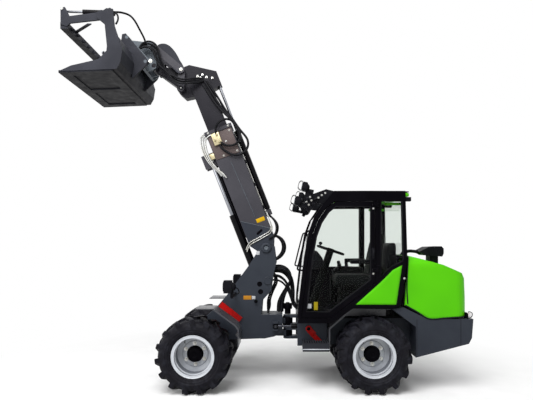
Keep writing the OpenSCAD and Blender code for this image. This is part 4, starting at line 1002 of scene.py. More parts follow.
def eased(line: Sequence[Vector], tightest: float) -> list[Vector]:
    """Opens the tight bends of a run, as a stiff hose does by itself, and keeps its two ends.

    Args:
        line: Places along the run, in metres.
        tightest: Smallest bend radius it is left with, in metres.

    Returns:
        The places of the eased run.
    """
    run = [place.copy() for place in line]
    for _ in range(EASE_ROUNDS):
        bent = False
        for i in range(1, len(run) - 1):
            back, ahead = run[i - 1] - run[i], run[i + 1] - run[i]
            twice_area = back.cross(ahead).length
            if back.length * ahead.length * (ahead - back).length < 2.0 * twice_area * tightest:
                run[i] = run[i].lerp((run[i - 1] + run[i + 1]) / 2, EASE_STEP)
                bent = True
        if not bent:
            break
    return run


def hose(name: str, route: Sequence[Vector], radius_mm: float, first: "Body", last: Optional["Body"] = None) -> None:
    """Args:
        name: Name of the piece.
        route: Places it goes through, in metres, from one fitting to the other.
        radius_mm: Its radius.
        first: Body that carries its start.
        last: Body that carries its end, where that is another one.
    """
    line = eased(spline(route, False, 6), HOSE_BEND * radius_mm * MM)
    obj = Form(name).sweep(line, radius_mm, 10, False, 1).piece(RUBBER, None if last else first.value)
    if last:
        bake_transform(obj)


@dataclass
class Stage:
    """Floor, light and camera of the studio."""

    eye: tuple = (-0.16323, 6.110, 1.676)
    lens_mm: float = 33.157
    shift: tuple = (-0.031, 0.0826)
    floor_half: float = 14.0
    ambient: float = 0.46
    lamps: tuple = (("key", (1.5, 5.5, 8.5), (0.2, 0.0, 1.6), 5.5, 720.0),
                    ("fill", (6.5, 4.0, 3.0), (0.2, 0.0, 1.6), 4.0, 150.0),
                    ("rim", (-5.0, -5.0, 6.0), (0.0, 0.0, 1.6), 4.0, 160.0))

    def build(self) -> None:
        """Sets the camera first, then the floor, the world and the lamps."""
        scene = bpy.context.scene
        scene.view_settings.view_transform = "Standard"
        data = bpy.data.cameras.new("photo_camera")
        data.sensor_fit, data.sensor_width, data.lens = "HORIZONTAL", 36.0, self.lens_mm
        data.shift_x, data.shift_y = self.shift
        camera = bpy.data.objects.new("photo_camera", data)
        camera.location = self.eye
        camera.rotation_euler = (math.radians(90), 0, math.radians(180))
        scene.collection.objects.link(camera)
        scene.camera = camera
        self.floor()
        self.world()
        for name, place, target, size, power in self.lamps:
            self.lamp(name, place, target, size, power)

    def floor(self) -> None:
        """Lays a pale floor that keeps the shadow and reads as white away from the object."""
        mesh = bpy.data.meshes.new("studio_floor")
        h = self.floor_half
        mesh.from_pydata([(-h, -h, 0), (h, -h, 0), (h, h, 0), (-h, h, 0)], [], [(0, 1, 2, 3)])
        s = Surface("painted studio floor")
        spot = node(s.tree, "ShaderNodeVectorMath", {0: s.place}, operation="LENGTH").outputs["Value"]
        far = s.ramp(spot, 1.6, 4.2)
        grain = s.ramp(s.noise(300, 3.0), 0.3, 0.7, 0.86, 0.92)
        path = node(s.tree, "ShaderNodeLightPath")
        # The floor throws back half as much light as it shows, so that undersides stay dark
        dimmed = node(s.tree, "ShaderNodeMapRange", {"Value": path.outputs["Is Diffuse Ray"], "To Min": 1.0,
                                                     "To Max": 0.5}).outputs[0]
        pale = node(s.tree, "ShaderNodeMath", {0: grain, 1: dimmed}, operation="MULTIPLY").outputs[0]
        matt = node(s.tree, "ShaderNodeBsdfDiffuse", {"Color": pale, "Roughness": 0.6})
        glow = node(s.tree, "ShaderNodeEmission", {"Color": linear("#FFFFFF"), "Strength": 1.0})
        seen = background_share(s.tree, path)
        share = node(s.tree, "ShaderNodeMath", {0: far, 1: seen}, operation="MULTIPLY").outputs[0]
        both = node(s.tree, "ShaderNodeMixShader", {0: share, 1: matt.outputs[0], 2: glow.outputs[0]})
        s.tree.links.new(both.outputs[0], s.out.inputs[0])
        mesh.materials.append(s.material)
        obj = bpy.data.objects.new("studio_floor", mesh)
        bpy.context.scene.collection.objects.link(obj)

    def world(self) -> None:
        """Gives a white background and a soft light from all round."""
        world = bpy.data.worlds.new("studio")
        world.use_nodes = True
        tree = world.node_tree
        tree.nodes.clear()
        seen = background_share(tree, node(tree, "ShaderNodeLightPath"))
        strength = node(tree, "ShaderNodeMapRange",
                        {"Value": seen, "To Min": self.ambient, "To Max": 1.0}).outputs[0]
        light = node(tree, "ShaderNodeBackground", {"Color": linear("#FFFFFF"), "Strength": strength})
        node(tree, "ShaderNodeOutputWorld", {"Surface": light.outputs[0]})
        bpy.context.scene.world = world

    def lamp(self, name: str, place: Sequence[float], target: Sequence[float], size: float, power: float) -> None:
        """Hangs a soft box that faces a target.

        Args:
            name: Name of the lamp.
            place: Where it hangs, in metres.
            target: What it faces.
            size: Width of the soft box.
            power: Watts.
        """
        data = bpy.data.lights.new(name, "AREA")
        data.energy, data.size = power, size
        obj = bpy.data.objects.new(name, data)
        obj.location = place
        obj.rotation_euler = (Vector(target) - Vector(place)).to_track_quat("-Z", "Y").to_euler()
        bpy.context.scene.collection.objects.link(obj)


class Body(str, Enum):
    """The bodies that the dressing rides on."""

    REAR = "rear_frame"
    FRONT = "front_frame"
    BOOM = "boom"
    EXTENSION = "extension"
    CRANK = "crank"
    LINK = "link"
    TOOL = "tool"
    CLAW = "claw"
    DOOR = "door"
    HOOD = "hood"


FINISHES: dict[str, Finish] = {
    "chassis_paint": ANTHRACITE, "boom_paint": BOOM_COAT, "tool_paint": TOOL_COAT, "axle_paint": AXLE_COAT,
    "engine_iron": IRON, "cab_black": BLACK_COAT, "roof_plastic": GRAINED, "clear_glass": GLASS,
    "lime_paint": LIME, "interior": INTERIOR, "step_metal": ALUMINIUM, "lamp_body": GRAINED,
    "safety_red": RED_COAT, "barrel_black": BARREL_COAT, "rod_chrome": CHROME, "rim_silver": SILVER,
    "tyre_rubber": TYRE,
}
# Nodes whose finish differs from the one of their slot
OWN_FINISH: dict[str, Finish] = {
    "entry_step": STEP_COAT, "hitch": PALE_COAT, "inner_boom": INNER_COAT, "steer_rod": NITRIDED,
    "front_mudguards": GUARD, "rear_mudguards": GUARD,
}


def dress_solids() -> None:
    """Gives every carried-over solid the finish of its slot."""
    slots = {part["node"]: part["material_slot"] for part in frame["record"]["subparts"]}
    for name, obj in frame["nodes"].items():
        finish = OWN_FINISH.get(name) or FINISHES[slots[name]]
        obj.data.materials.clear()
        obj.data.materials.append(finish.material())
        LOG.info("solid %s: %s", name, finish.material().name)


@dataclass
class Wheel:
    """One wheel: its rubber with lugs, rim lips, hub cap, nuts and valve."""

    name: str
    x: float
    side: int
    track_half: float = 515.0
    axle_z: float = 425.0
    lug_n: int = 15
    lug_w: float = 58.0
    lug_sweep: float = 90.0
    lug_over: float = 14.0
    lug_foot: float = 335.0
    lug_round: float = 6.0
    lug_fall: float = 9.0
    lug_rows: int = 6
    tread_half: float = 190.0
    radius: float = 425.0
    carcass_r: float = 395.0
    nut_n: int = 6
    nut_circle: float = 119.0
    nut_size: tuple = (27.0, 20.0)
    valve_angle: float = 0.9

    @property
    def centre(self) -> Vector:
        """Middle of the wheel."""
        return at(self.x, self.side * self.track_half, self.axle_z)

    @property
    def axis(self) -> Vector:
        """Direction out of the machine along the axle."""
        return Vector((0, self.side, 0))

    def build(self) -> None:
        """Makes all pieces of the wheel."""
        self.rubber()
        body = self.name
        lip = [(209, 146), (214, 150), (234, 157), (240, 160), (242.5, 164), (241, 167.5), (236, 168), (230, 163.5),
               (216, 158), (209, 156)]
        rim = Form(f"{self.name}_rim_lips")
        for flip in SIDES:
            rim.lathe([(r, flip * h) for r, h in lip + lip[:1]], self.centre, self.axis, 72).merged()
        # Steps of the well between the disc and the outer lip
        for inset, deep in ((104, 7), (128, 5)):
            rim.lathe([(208, inset - 5), (208 - deep, inset - 3), (208 - deep, inset + 3), (208, inset + 5)],
                      self.centre, self.axis, 72)
        rim.lathe([(206, -17), (150, -17), (146, -10), (128, -6), (92, -6), (90, -12)], self.centre, self.axis, 56)
        rim.piece(SILVER, body, "rim_silver")
        cap = Form(f"{self.name}_hub_cap")
        cap.lathe([(95, -18), (95, -4), (88, 0), (85, 6), (84, 44), (79, 53), (70, 56), (64, 54), (60, 56.5), (34, 58),
                   (30, 55), (12, 55), (10, 58), (0, 58)], self.centre, self.axis, 48)
        cap.piece(BLACK_COAT, body)
        nuts = Repeat(f"{self.name}_nuts", Shape.HEX_NUT, *self.nut_size)
        nuts.ring(self.centre + self.axis * -4 * MM, self.axis, self.nut_circle, self.nut_n, 0.3)
        nuts.piece(ZINC, body)
        u = Vector((math.cos(self.valve_angle), 0, math.sin(self.valve_angle)))
        Form(f"{self.name}_valve").sweep(
            [self.centre + u * r * MM + self.axis * h * MM for r, h in ((188, -12), (187, 14), (178, 36), (165, 52))],
            4.5, 8).piece(RUBBER, body)

    def rubber(self) -> None:
        """Makes the tyre: a round carcass with ribs on its walls and two rows of slanting lugs."""
        wall = [(239.6, 157), (246, 164), (256, 171), (259, 175.5), (263, 175.5), (266, 176), (279, 182), (282, 186),
                (287, 186.5), (290, 186), (304, 191), (307, 194), (312, 194.6), (316, 193), (330, 194), (347, 189),
                (364, 178), (379, 161), (390, 139), (395, 112)]
        full = [(217, -157)] + [(r, -h) for r, h in wall] + [(396.5, 0)] + wall[::-1] + [(217, 157), (217, -157)]
        form = Form(f"{self.name}_rubber").lathe(full, self.centre, self.axis, 96).merged()
        for half in SIDES:
            rows = Repeat(f"{self.name}_lugs", Shape.PATTERN, self.lug_w, self.radius - self.carcass_r)
            rows.like(self.lug(half))
            for i in range(self.lug_n):
                t = (i + (half + 1) / 4) * 2 * math.pi / self.lug_n
                rows.add(self.centre, Vector((math.cos(t), 0, -self.side * math.sin(t))), self.axis)
            form.absorb(rows.mesh(TYRE))
        obj = form.piece(TYRE, self.name, "tyre_rubber", 32.0)
        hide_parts(self.name.replace("_wheel", "_tyre"))

    def lug(self, half: int) -> Form:
        """Draws one lug about the axle, with its length across the tread and its top on the tyre's radius.

        Args:
            half: Which half of the tread it lies on.

        Returns:
            The lug, standing up along Z.
        """
        lead = self.side * self.lug_sweep / 2
        form = Form("lug")
        rows = []
        last = self.lug_rows - 1
        for k in range(self.lug_rows):
            share = k / last
            v = half * (-self.lug_over + share * (self.tread_half + self.lug_over))
            mid = lead - 2 * lead * share
            # The lug is slimmer at its top, and its outer end falls with the shoulder
            top = self.radius - (self.lug_fall if k == last else 0.0)
            ring = []
            for u, w in ((-0.5, self.lug_foot), (-0.46, top - self.lug_round), (-0.38, top), (0.38, top),
                         (0.46, top - self.lug_round), (0.5, self.lug_foot)):
                x = mid + u * self.lug_w
                ring.append(form.bm.verts.new(Vector((x, v, math.sqrt(w * w - x * x))) * MM))
            rows.append(ring)
        for a, b in zip(rows, rows[1:]):
            for i in range(len(a)):
                n = (i + 1) % len(a)
                form.bm.faces.new((a[i], a[n], b[n], b[i]))
        form.bm.faces.new(rows[0])
        form.bm.faces.new(rows[-1])
        return form


@dataclass
class Cab:
    """Dressing of the cab: seals, rails, lamps, wiper, handle and what stands inside."""

    wall_y: float = 590.0
    frame_in: float = 530.0
    pane: tuple = ((0.075, 0.08), (0.09, 0.17), (0.132, 0.5), (0.168, 0.68), (0.215, 0.79), (0.28, 0.875),
                   (0.345, 0.92), (0.66, 0.92), (0.66, 0.335), (0.48, 0.215), (0.28, 0.08))
    quarter: tuple = ((0.755, 0.962), (0.945, 0.962), (0.958, 0.51), (0.952, 0.485), (0.86, 0.445), (0.755, 0.36))
    right_pane: tuple = ((0.0774, 0.4), (0.092, 0.509), (0.131, 0.7), (0.18, 0.815), (0.252, 0.908), (0.335, 0.962),
                         (0.703, 0.962), (0.703, 0.4))
    opening: tuple = ((0.03, 0.028), (0.045, 0.158), (0.092, 0.509), (0.131, 0.7), (0.18, 0.815), (0.252, 0.908),
                      (0.335, 0.962), (0.703, 0.962), (0.703, 0.301), (0.5, 0.165), (0.29, 0.028))
    arch: tuple = ((-468, 727), (-468, 818), (-512, 818), (-722, 962), (-722, 948))
    lamp_shares: tuple = ((0.078, 1.076), (0.012, 0.962))
    lamp_lean: float = 12.0
    lamp_bar: tuple = ((0.045, 0.05), (0.074, 0.056), (0.09, 0.036), (0.094, 0), (0.088, -0.03), (0.05, -0.05))
    seal_mm: float = 8.0
    rail_y: float = 566.0

    def build(self) -> None:
        """Makes all pieces of the cab."""
        self.seals()
        self.rails()
        self.wiper()
        self.door_fittings()
        self.work_lamps()
        self.controls()

    def seals(self) -> None:
        """Lays rubber round each pane, inside the door's opening and between the floor and the mudguards."""
        stop = [cab_at(a, h, self.frame_in + 7) for a, h in self.opening]
        Form("opening_seal").sweep(stop, self.seal_mm, 8, True, 1).piece(RUBBER, Body.REAR.value)
        wedge = Form("arch_seals")
        for side in SIDES:
            wedge.slab([at(x, side * 316, z) for x, z in self.arch], Vector((0, side * 0.212, 0)))
        wedge.piece(RUBBER, Body.REAR.value)
        y = self.wall_y - 3
        pane = [cab_at(a, h, y) for a, h in self.pane]
        Form("door_seal").sweep(pane, self.seal_mm, 8, True, 1).piece(RUBBER, Body.DOOR.value)
        fixed = Form("pane_seals")
        for side in SIDES:
            fixed.sweep([cab_at(a, h, side * y) for a, h in self.quarter], self.seal_mm, 8, True, 1)
            fixed.sweep([at(x, side * 533, z) for x, z in ((-500, 2268), (-700, 2274), (-1100, 2274), (-1370, 2268))],
                        7, 8, False, 3)
        fixed.sweep([cab_at(a, h, -y) for a, h in self.right_pane], self.seal_mm, 8, True, 1)
        fixed.piece(RUBBER, Body.REAR.value)

    def rails(self) -> None:
        """Bends a grab rail in front of each front pillar."""
        form = Form("grab_rails")
        for side in SIDES:
            y = side * self.rail_y
            form.sweep([at(x, y, z) for x, z in ((-284, 1826), (-227, 1822), (-208, 1800), (-188, 1730), (-152, 1590),
                                                 (-118, 1450), (-106, 1405), (-114, 1384), (-166, 1378))], 10, 10)
        form.piece(BLACK_COAT, Body.REAR.value)

    def wiper(self) -> None:
        """Puts a wiper on the windscreen."""
        form = Form("screen_wiper")
        form.lathe([(0, -16), (17, -16), (17, 8), (12, 14), (0, 14)], at(-124, 60, 968), Vector((1, 0, 0.1)), 20)
        form.sweep([at(-116, 60, 968), at(-124, 90, 1100), at(-142, 132, 1290)], 5, 8)
        form.sweep([at(-122, 118, 1080), at(-143, 136, 1290), at(-166, 150, 1480)], 6.5, 6)
        form.piece(RUBBER, Body.REAR.value)

    def door_fittings(self) -> None:
        """Puts a handle, two blank plates and hinge bolts on the door."""
        form = Form("door_handle")
        form.box(at(-975, 588, 1500), at(-938, 601, 1632), 6)
        form.sweep([at(-957, 594, 1608), at(-956, 622, 1600), at(-954, 625, 1565), at(-955, 622, 1530),
                    at(-957, 594, 1522)], 8, 8)
        form.piece(GRAINED, Body.DOOR.value)
        for name, x, z, wide, tall, coat in (("door_plate_yellow", -313, 977, 44, 92, FADED_PLATE),
                                             ("door_plate_pale", -240, 976, 46, 52, PALE_PLATE)):
            plate = Form(name)
            plate.box(at(x - wide / 2, 570.5, z - tall / 2), at(x + wide / 2, 572, z + tall / 2), 0.5)
            plate.piece(coat, Body.DOOR.value)
        nuts = Repeat("door_hinge_bolts", Shape.HEX_NUT, 13, 8)
        for high in (0.40, 0.92):
            for dz in (-22, 22):
                nuts.add(cab_at(0.685, high, self.wall_y) + Vector((0, 0, dz * MM)), Vector((0, 1, 0)))
        nuts.piece(ZINC, Body.DOOR.value)

    def work_lamps(self) -> None:
        """Gives each work lamp a lens, a domed back, a yoke, wire guards and conduit, and the tail lamps lenses."""
        lens, guard, back = Form("work_lamp_lenses"), Form("work_lamp_guards"), Form("work_lamp_backs")
        bolts = Repeat("lamp_bracket_bolts", Shape.HEX_NUT, 13, 9)
        for side in SIDES:
            for along, high in self.lamp_shares:
                place = Matrix.Translation(cab_at(along, high, side * 555)) @ Matrix.Rotation(
                    math.radians(-self.lamp_lean), 4, "Y")
                part = Form("lens")
                part.box(Vector((0.047, -0.041, -0.041)), Vector((0.0585, 0.041, 0.041)), 5)
                lens.join(part, place)
                part = Form("back")
                part.lathe([(42, -2), (40, 14), (30, 28), (13, 36), (0, 37)], Vector((0, 0, 0)), Vector((-1, 0, 0)), 24)
                for y in (-0.054, 0.054):
                    part.box(Vector((-0.012, y - 0.004, -0.03)), Vector((0.042, y + 0.004, 0.03)), 3)
                back.join(part, place)
                for y in (-0.036, 0.036):
                    guard.sweep([place @ Vector((x, y, z)) for x, z in self.lamp_bar], 3, 6)
            # The knuckles, plugs and conduits that crowd the bracket between the lamps
            for x, z, r in ((-205, 2152, 26), (-232, 2118, 30), (-262, 2168, 32), (-282, 2124, 24), (-246, 2206, 26),
                            (-216, 2190, 22), (-254, 2088, 20)):
                back.lathe([(0, -58), (0.7 * r, -58), (r, -46), (r, 12), (0.86 * r, 22), (0.4 * r, 26), (0, 26)],
                           at(x, side * 556, z), Vector((0, side, 0)), 18)
            for shift in (0, 16):
                back.sweep([at(x - shift, side * (574 + 0.4 * shift), z) for x, z in (
                    (-152, 2196), (-186, 2160), (-196, 2118), (-226, 2076), (-268, 2084), (-296, 2130), (-318, 2166))],
                           6, 8)
                back.sweep([at(x - shift, side * (574 + 0.4 * shift), z) for x, z in (
                    (-230, 2276), (-258, 2240), (-246, 2206), (-268, 2176), (-306, 2186), (-344, 2208))], 6, 8)
            for x, z in ((-340, 2197), (-378, 2226), (-416, 2250)):
                bolts.add(at(x, side * 592, z), Vector((0, side, 0)))
            for x, z in ((-232, 2118), (-262, 2168), (-205, 2152), (-246, 2206)):
                bolts.add(at(x, side * 581, z), Vector((0, side, 0)))
        lens.piece(CLEAR_LENS, Body.REAR.value)
        guard.piece(BLACK_COAT, Body.REAR.value)
        back.piece(GRAINED, Body.REAR.value)
        bolts.piece(ZINC, Body.REAR.value)
        tail = Form("tail_lamp_lenses")
        for side in SIDES:
            tail.box(at(-1404, side * 485 - 29, 2172), at(-1396, side * 485 + 29, 2205), 4)
        tail.piece(RED_LENS, Body.REAR.value)

    def controls(self) -> None:
        """Puts the knob on the steering wheel, and the pod, pedals, lever grips, shelf and lime strips in the cab."""
        form = Form("cab_controls")
        form.lathe([(0, -4), (9, -2), (9, 14), (18, 22), (23, 34), (20, 46), (10, 53), (0, 54)], at(-395, 96, 1652),
                   Vector((-0.2, 0, 1)), 20)
        form.slab([at(x, -130, z) for x, z in ((-262, 1480), (-300, 1590), (-352, 1600), (-430, 1500), (-440, 1400),
                                               (-330, 1360), (-262, 1390))], Vector((0, 0.26, 0)), 22, 3)
        form.slab([at(x, -505, z) for x, z in ((-620, 900), (-600, 1330), (-680, 1385), (-1000, 1370), (-1010, 900))],
                  Vector((0, 0.14, 0)), 24, 3)
        for x, y, z in ((-690, -440, 1360), (-790, -440, 1362)):
            form.lathe([(0, -10), (22, -10), (26, 14), (21, 44), (24, 70), (17, 92), (0, 97)], at(x, y, z),
                       Vector((0.1, 0, 1)), 22)
        for y in (-150, 120):
            form.slab([at(-250, y, 880), at(-250, y + 80, 880), at(-205, y + 80, 1000), at(-205, y, 1000)],
                      Vector((0.012, 0, -0.004)), 4)
        # The padded shelf behind the driver that shows in the quarter windows
        shelf = ((-1196, 1372), (-1188, 1560), (-1206, 1650), (-1240, 1690), (-1292, 1690), (-1304, 1650),
                 (-1304, 1372))
        form.slab([at(x, -210, z) for x, z in shelf], Vector((0, 0.42, 0)), 26, 4)
        form.piece(GRAINED, Body.REAR.value)
        strip = Form("quarter_strips")
        for side in SIDES:
            strip.slab([at(x, side * 500, z) for x, z in ((-1096, 2118), (-1302, 2118), (-1302, 2148), (-1096, 2148))],
                       Vector((0, side * 0.022, 0)), 5)
        strip.piece(LIME, Body.REAR.value, "lime_paint")


@dataclass
class Seat:
    """The sprung driver's seat with sewn cushions."""

    base_z: float = 1190.0
    front_x: float = -560.0
    back_x: float = -1040.0
    half: float = 240.0
    top_z: float = 1292.0
    lean: float = -11.0
    fill: float = 0.7
    voxel: float = 0.006
    pressure: float = 4.0
    frames: int = 20
    swell: float = 0.012

    def build(self) -> None:
        """Makes the seat's frame and its cushions, which stand for the plain solid."""
        frame_form = Form("seat_frame")
        frame_form.box(at(-1030, -170, 828), at(-600, 170, 900), 16)
        for k in range(5):
            grow = 8 if k % 2 else 0
            frame_form.box(at(-990 - grow, -150 - grow, 900 + 52 * k), at(-640 + grow, 150 + grow, 952 + 52 * k), 20)
        frame_form.box(at(-1035, -215, 1155), at(-575, 215, 1192), 12)
        shell = frame_form.piece(INTERIOR, Body.REAR.value, "interior")
        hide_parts("operator_seat")
        self.cushion("seat_cushion", self.pad(), Matrix.Identity(4))
        lean = Matrix.Translation(at(-1010, 0, 1250)) @ Matrix.Rotation(math.radians(self.lean), 4, "Y")
        self.cushion("seat_back", self.back(), lean)
        rest = Form("arm_rests")
        for side in SIDES:
            rest.box(at(-1010, side * 262 - 30, 1440), at(-740, side * 262 + 30, 1490), 18)
            rest.sweep([at(-1020, side * 215, 1400), at(-1015, side * 255, 1420), at(-990, side * 262, 1450)], 14, 10)
        rest.piece(GRAINED, Body.REAR.value)

    def pad(self) -> Form:
        """Draws the seat cushion before it swells."""
        low = at(self.back_x + 20, -self.half + 8, self.base_z + 4)
        return Form("pad").box(low, at(self.front_x - 8, self.half - 8, self.top_z), 26, 4)

    def back(self) -> Form:
        """Draws the back cushion with its shoulders, about its foot.

        Returns:
            The form.
        """
        outline = [(-0.22, 0.02), (0.22, 0.02), (0.232, 0.25), (0.215, 0.44), (0.15, 0.52), (0.13, 0.585),
                   (-0.13, 0.585), (-0.15, 0.52), (-0.215, 0.44), (-0.232, 0.25)]
        return Form("back").slab([Vector((-0.055, y, z)) for y, z in outline], Vector((0.095, 0, 0)), 24, 4)

    def cushion(self, name: str, form: Form, place: Matrix) -> None:
        """Swells a form into a sewn cushion with Cloth.

        Args:
            name: Name of the piece.
            form: Its shape before it swells.
            place: Where it stands.
        """
        bmesh.ops.recalc_face_normals(form.bm, faces=form.bm.faces)
        mesh = bpy.data.meshes.new(name)
        form.bm.to_mesh(mesh)
        form.bm.free()
        holder = bpy.data.objects.new(name + "_cloth", mesh)
        bpy.context.scene.collection.objects.link(holder)
        remesh = holder.modifiers.new("voxels", "REMESH")
        remesh.mode, remesh.voxel_size = "VOXEL", self.voxel
        mesh = bpy.data.meshes.new_from_object(holder.evaluated_get(bpy.context.evaluated_depsgraph_get()))
        holder.modifiers.clear()
        holder.data = mesh
        start = [v.co.copy() for v in mesh.vertices]
        cloth = holder.modifiers.new("cloth", "CLOTH")
        cloth.settings.use_pressure, cloth.settings.uniform_pressure_force = True, self.pressure
        cloth.settings.effector_weights.gravity = 0.0
        scene = bpy.context.scene
        for step in range(1, self.frames + 1):
            scene.frame_set(step)
        swollen = bpy.data.meshes.new_from_object(holder.evaluated_get(bpy.context.evaluated_depsgraph_get()))
        scene.frame_set(1)
        for v, before, after in zip(mesh.vertices, start, swollen.vertices):
            move = after.co - before
            v.co = before + move * min(1.0, self.swell / max(move.length, 1e-6))
        mesh.transform(place)
        bpy.data.objects.remove(holder)
        obj = place_mesh(name, mesh, CLOTH, Body.REAR.value, 60.0)


@dataclass
class Hood:
    """Dressing of the engine hood and the counterweight under it."""

    side_y: float = 560.0
    edge: tuple = ((-1322, 985), (-1460, 908), (-1598, 829), (-1800, 840), (-1950, 848))
    rear_x: float = -2034.0
    louvre_n: int = 7
    louvre_z: float = 930.3
    louvre_step: float = 44.0
    rib_n: int = 7
    rib_step: float = 22.0

    def build(self) -> None:
        """Makes all pieces of the rear end."""
        seal = Form("hood_seal")
        left = [at(x, self.side_y - 2, z) for x, z in self.edge]
        corner = [at(-2005, 520, 851), at(self.rear_x, 430, 853), at(self.rear_x - 3, 0, 853)]
        half = left + corner
        line = half + [Vector((p.x, -p.y, p.z)) for p in half[-2::-1]]
        seal.sweep(line, 9, 8)
        for side in SIDES:
            seal.sweep([at(x, side * 562, z) for x, z in ((-1352, 1000), (-1342, 1180), (-1350, 1400), (-1356, 1540))],
                       7, 8)
        seal.piece(RUBBER, Body.REAR.value)
        slats = Repeat("hood_slats", Shape.SLAT, 520, 26)
        for i in range(self.louvre_n):
            z = self.louvre_z + i * self.louvre_step + 9
            x = self.rear_x + 10 + (z - 853) * 0.08
            slats.add(at(x, 0, z), Vector((0.45, 0, 0.9)))
        slats.piece(GRAINED, Body.HOOD.value)
        latch = Form("hood_latch")
        latch.lathe([(0, -6), (26, -6), (26, 4), (20, 8), (16, 5), (0, 5)], at(-1998, 0, 1285),
                    Vector((-1, 0, 0.12)), 28)
        latch.piece(GRAINED, Body.HOOD.value)
        bolts = Repeat("pillar_bolts", Shape.HEX_NUT, 14, 9)
        for side in SIDES:
            bolts.add(lands(at(-1306, 0, 1290), side, "cab_left_frame", "cab_right_frame"), Vector((0, side, 0)))
        bolts.piece(ZINC, Body.REAR.value)
        elbow = Form("intake_elbow")
        bend = ((-1640, 1572), (-1560, 1586), (-1490, 1588), (-1430, 1566), (-1396, 1520))
        elbow.sweep([at(x, 40, z) for x, z in bend], 20, 14)
        for x, z, aim in ((-1600, 1580, (1, 0, -0.15)), (-1462, 1581, (1, 0, -0.4))):
            elbow.lathe([(20, -9), (24, -8), (24, 8), (20, 9)], at(x, 40, z), Vector(aim), 20)
        elbow.piece(RUBBER, Body.HOOD.value)
        ribs = Repeat("scoop_ribs", Shape.SLAT, 6, 70)
        for side in SIDES:
            for k in range(self.rib_n):
                ribs.add(lands(at(-1712 - self.rib_step * k, 0, 1590), side, "intake_scoop"), Vector((0.12, 0, 1)))
        ribs.piece(GRAINED, Body.HOOD.value)
        self.counterweight()

    def counterweight(self) -> None:
        """Gives the counterweight its tow pin, rear lamps and the seams between its castings."""
        pin = Form("tow_pin")
        pin.lathe([(0, 500), (13, 505), (13, 590), (20, 592), (20, 604), (9, 606), (9, 612), (0, 612)], at(-2072, 0, 0),
                  Vector((0, 0, 1)), 20)
        pin.sweep([at(-2072, 0, 610), at(-2072, 16, 632), at(-2072, 0, 654), at(-2072, -16, 632)], 4, 8, True)
        pin.piece(ZINC, Body.REAR.value)
        lamps, bars = Form("rear_lamps"), Form("rear_lamp_guards")
        for side in SIDES:
            y = side * 500
            lamps.box(at(-2070, y - 44, 846), at(-2040, y + 44, 892), 8)
            bars.box(at(-2042, y - 48, 830), at(-2016, y + 48, 896), 8)
            bars.sweep([at(-2030, y - 56, 832), at(-2076, y - 52, 850), at(-2082, y - 52, 894), at(-2082, y + 52, 894),
                        at(-2076, y + 52, 850), at(-2030, y + 56, 832)], 5, 8, False, 3)
        lamps.piece(RED_LENS, Body.REAR.value)
        bars.piece(BLACK_COAT, Body.REAR.value)
        seams = Form("counterweight_seams")
        for side in SIDES:
            y = side * self.side_y
            for x, low, high in ((-1456, 420, 822), (-1953, 540, 826)):
                seams.box(at(x - 2.5, min(y, y + side), low), at(x + 2.5, max(y, y + side), high), 0.4, 1)
        seams.piece(RUBBER, Body.REAR.value)


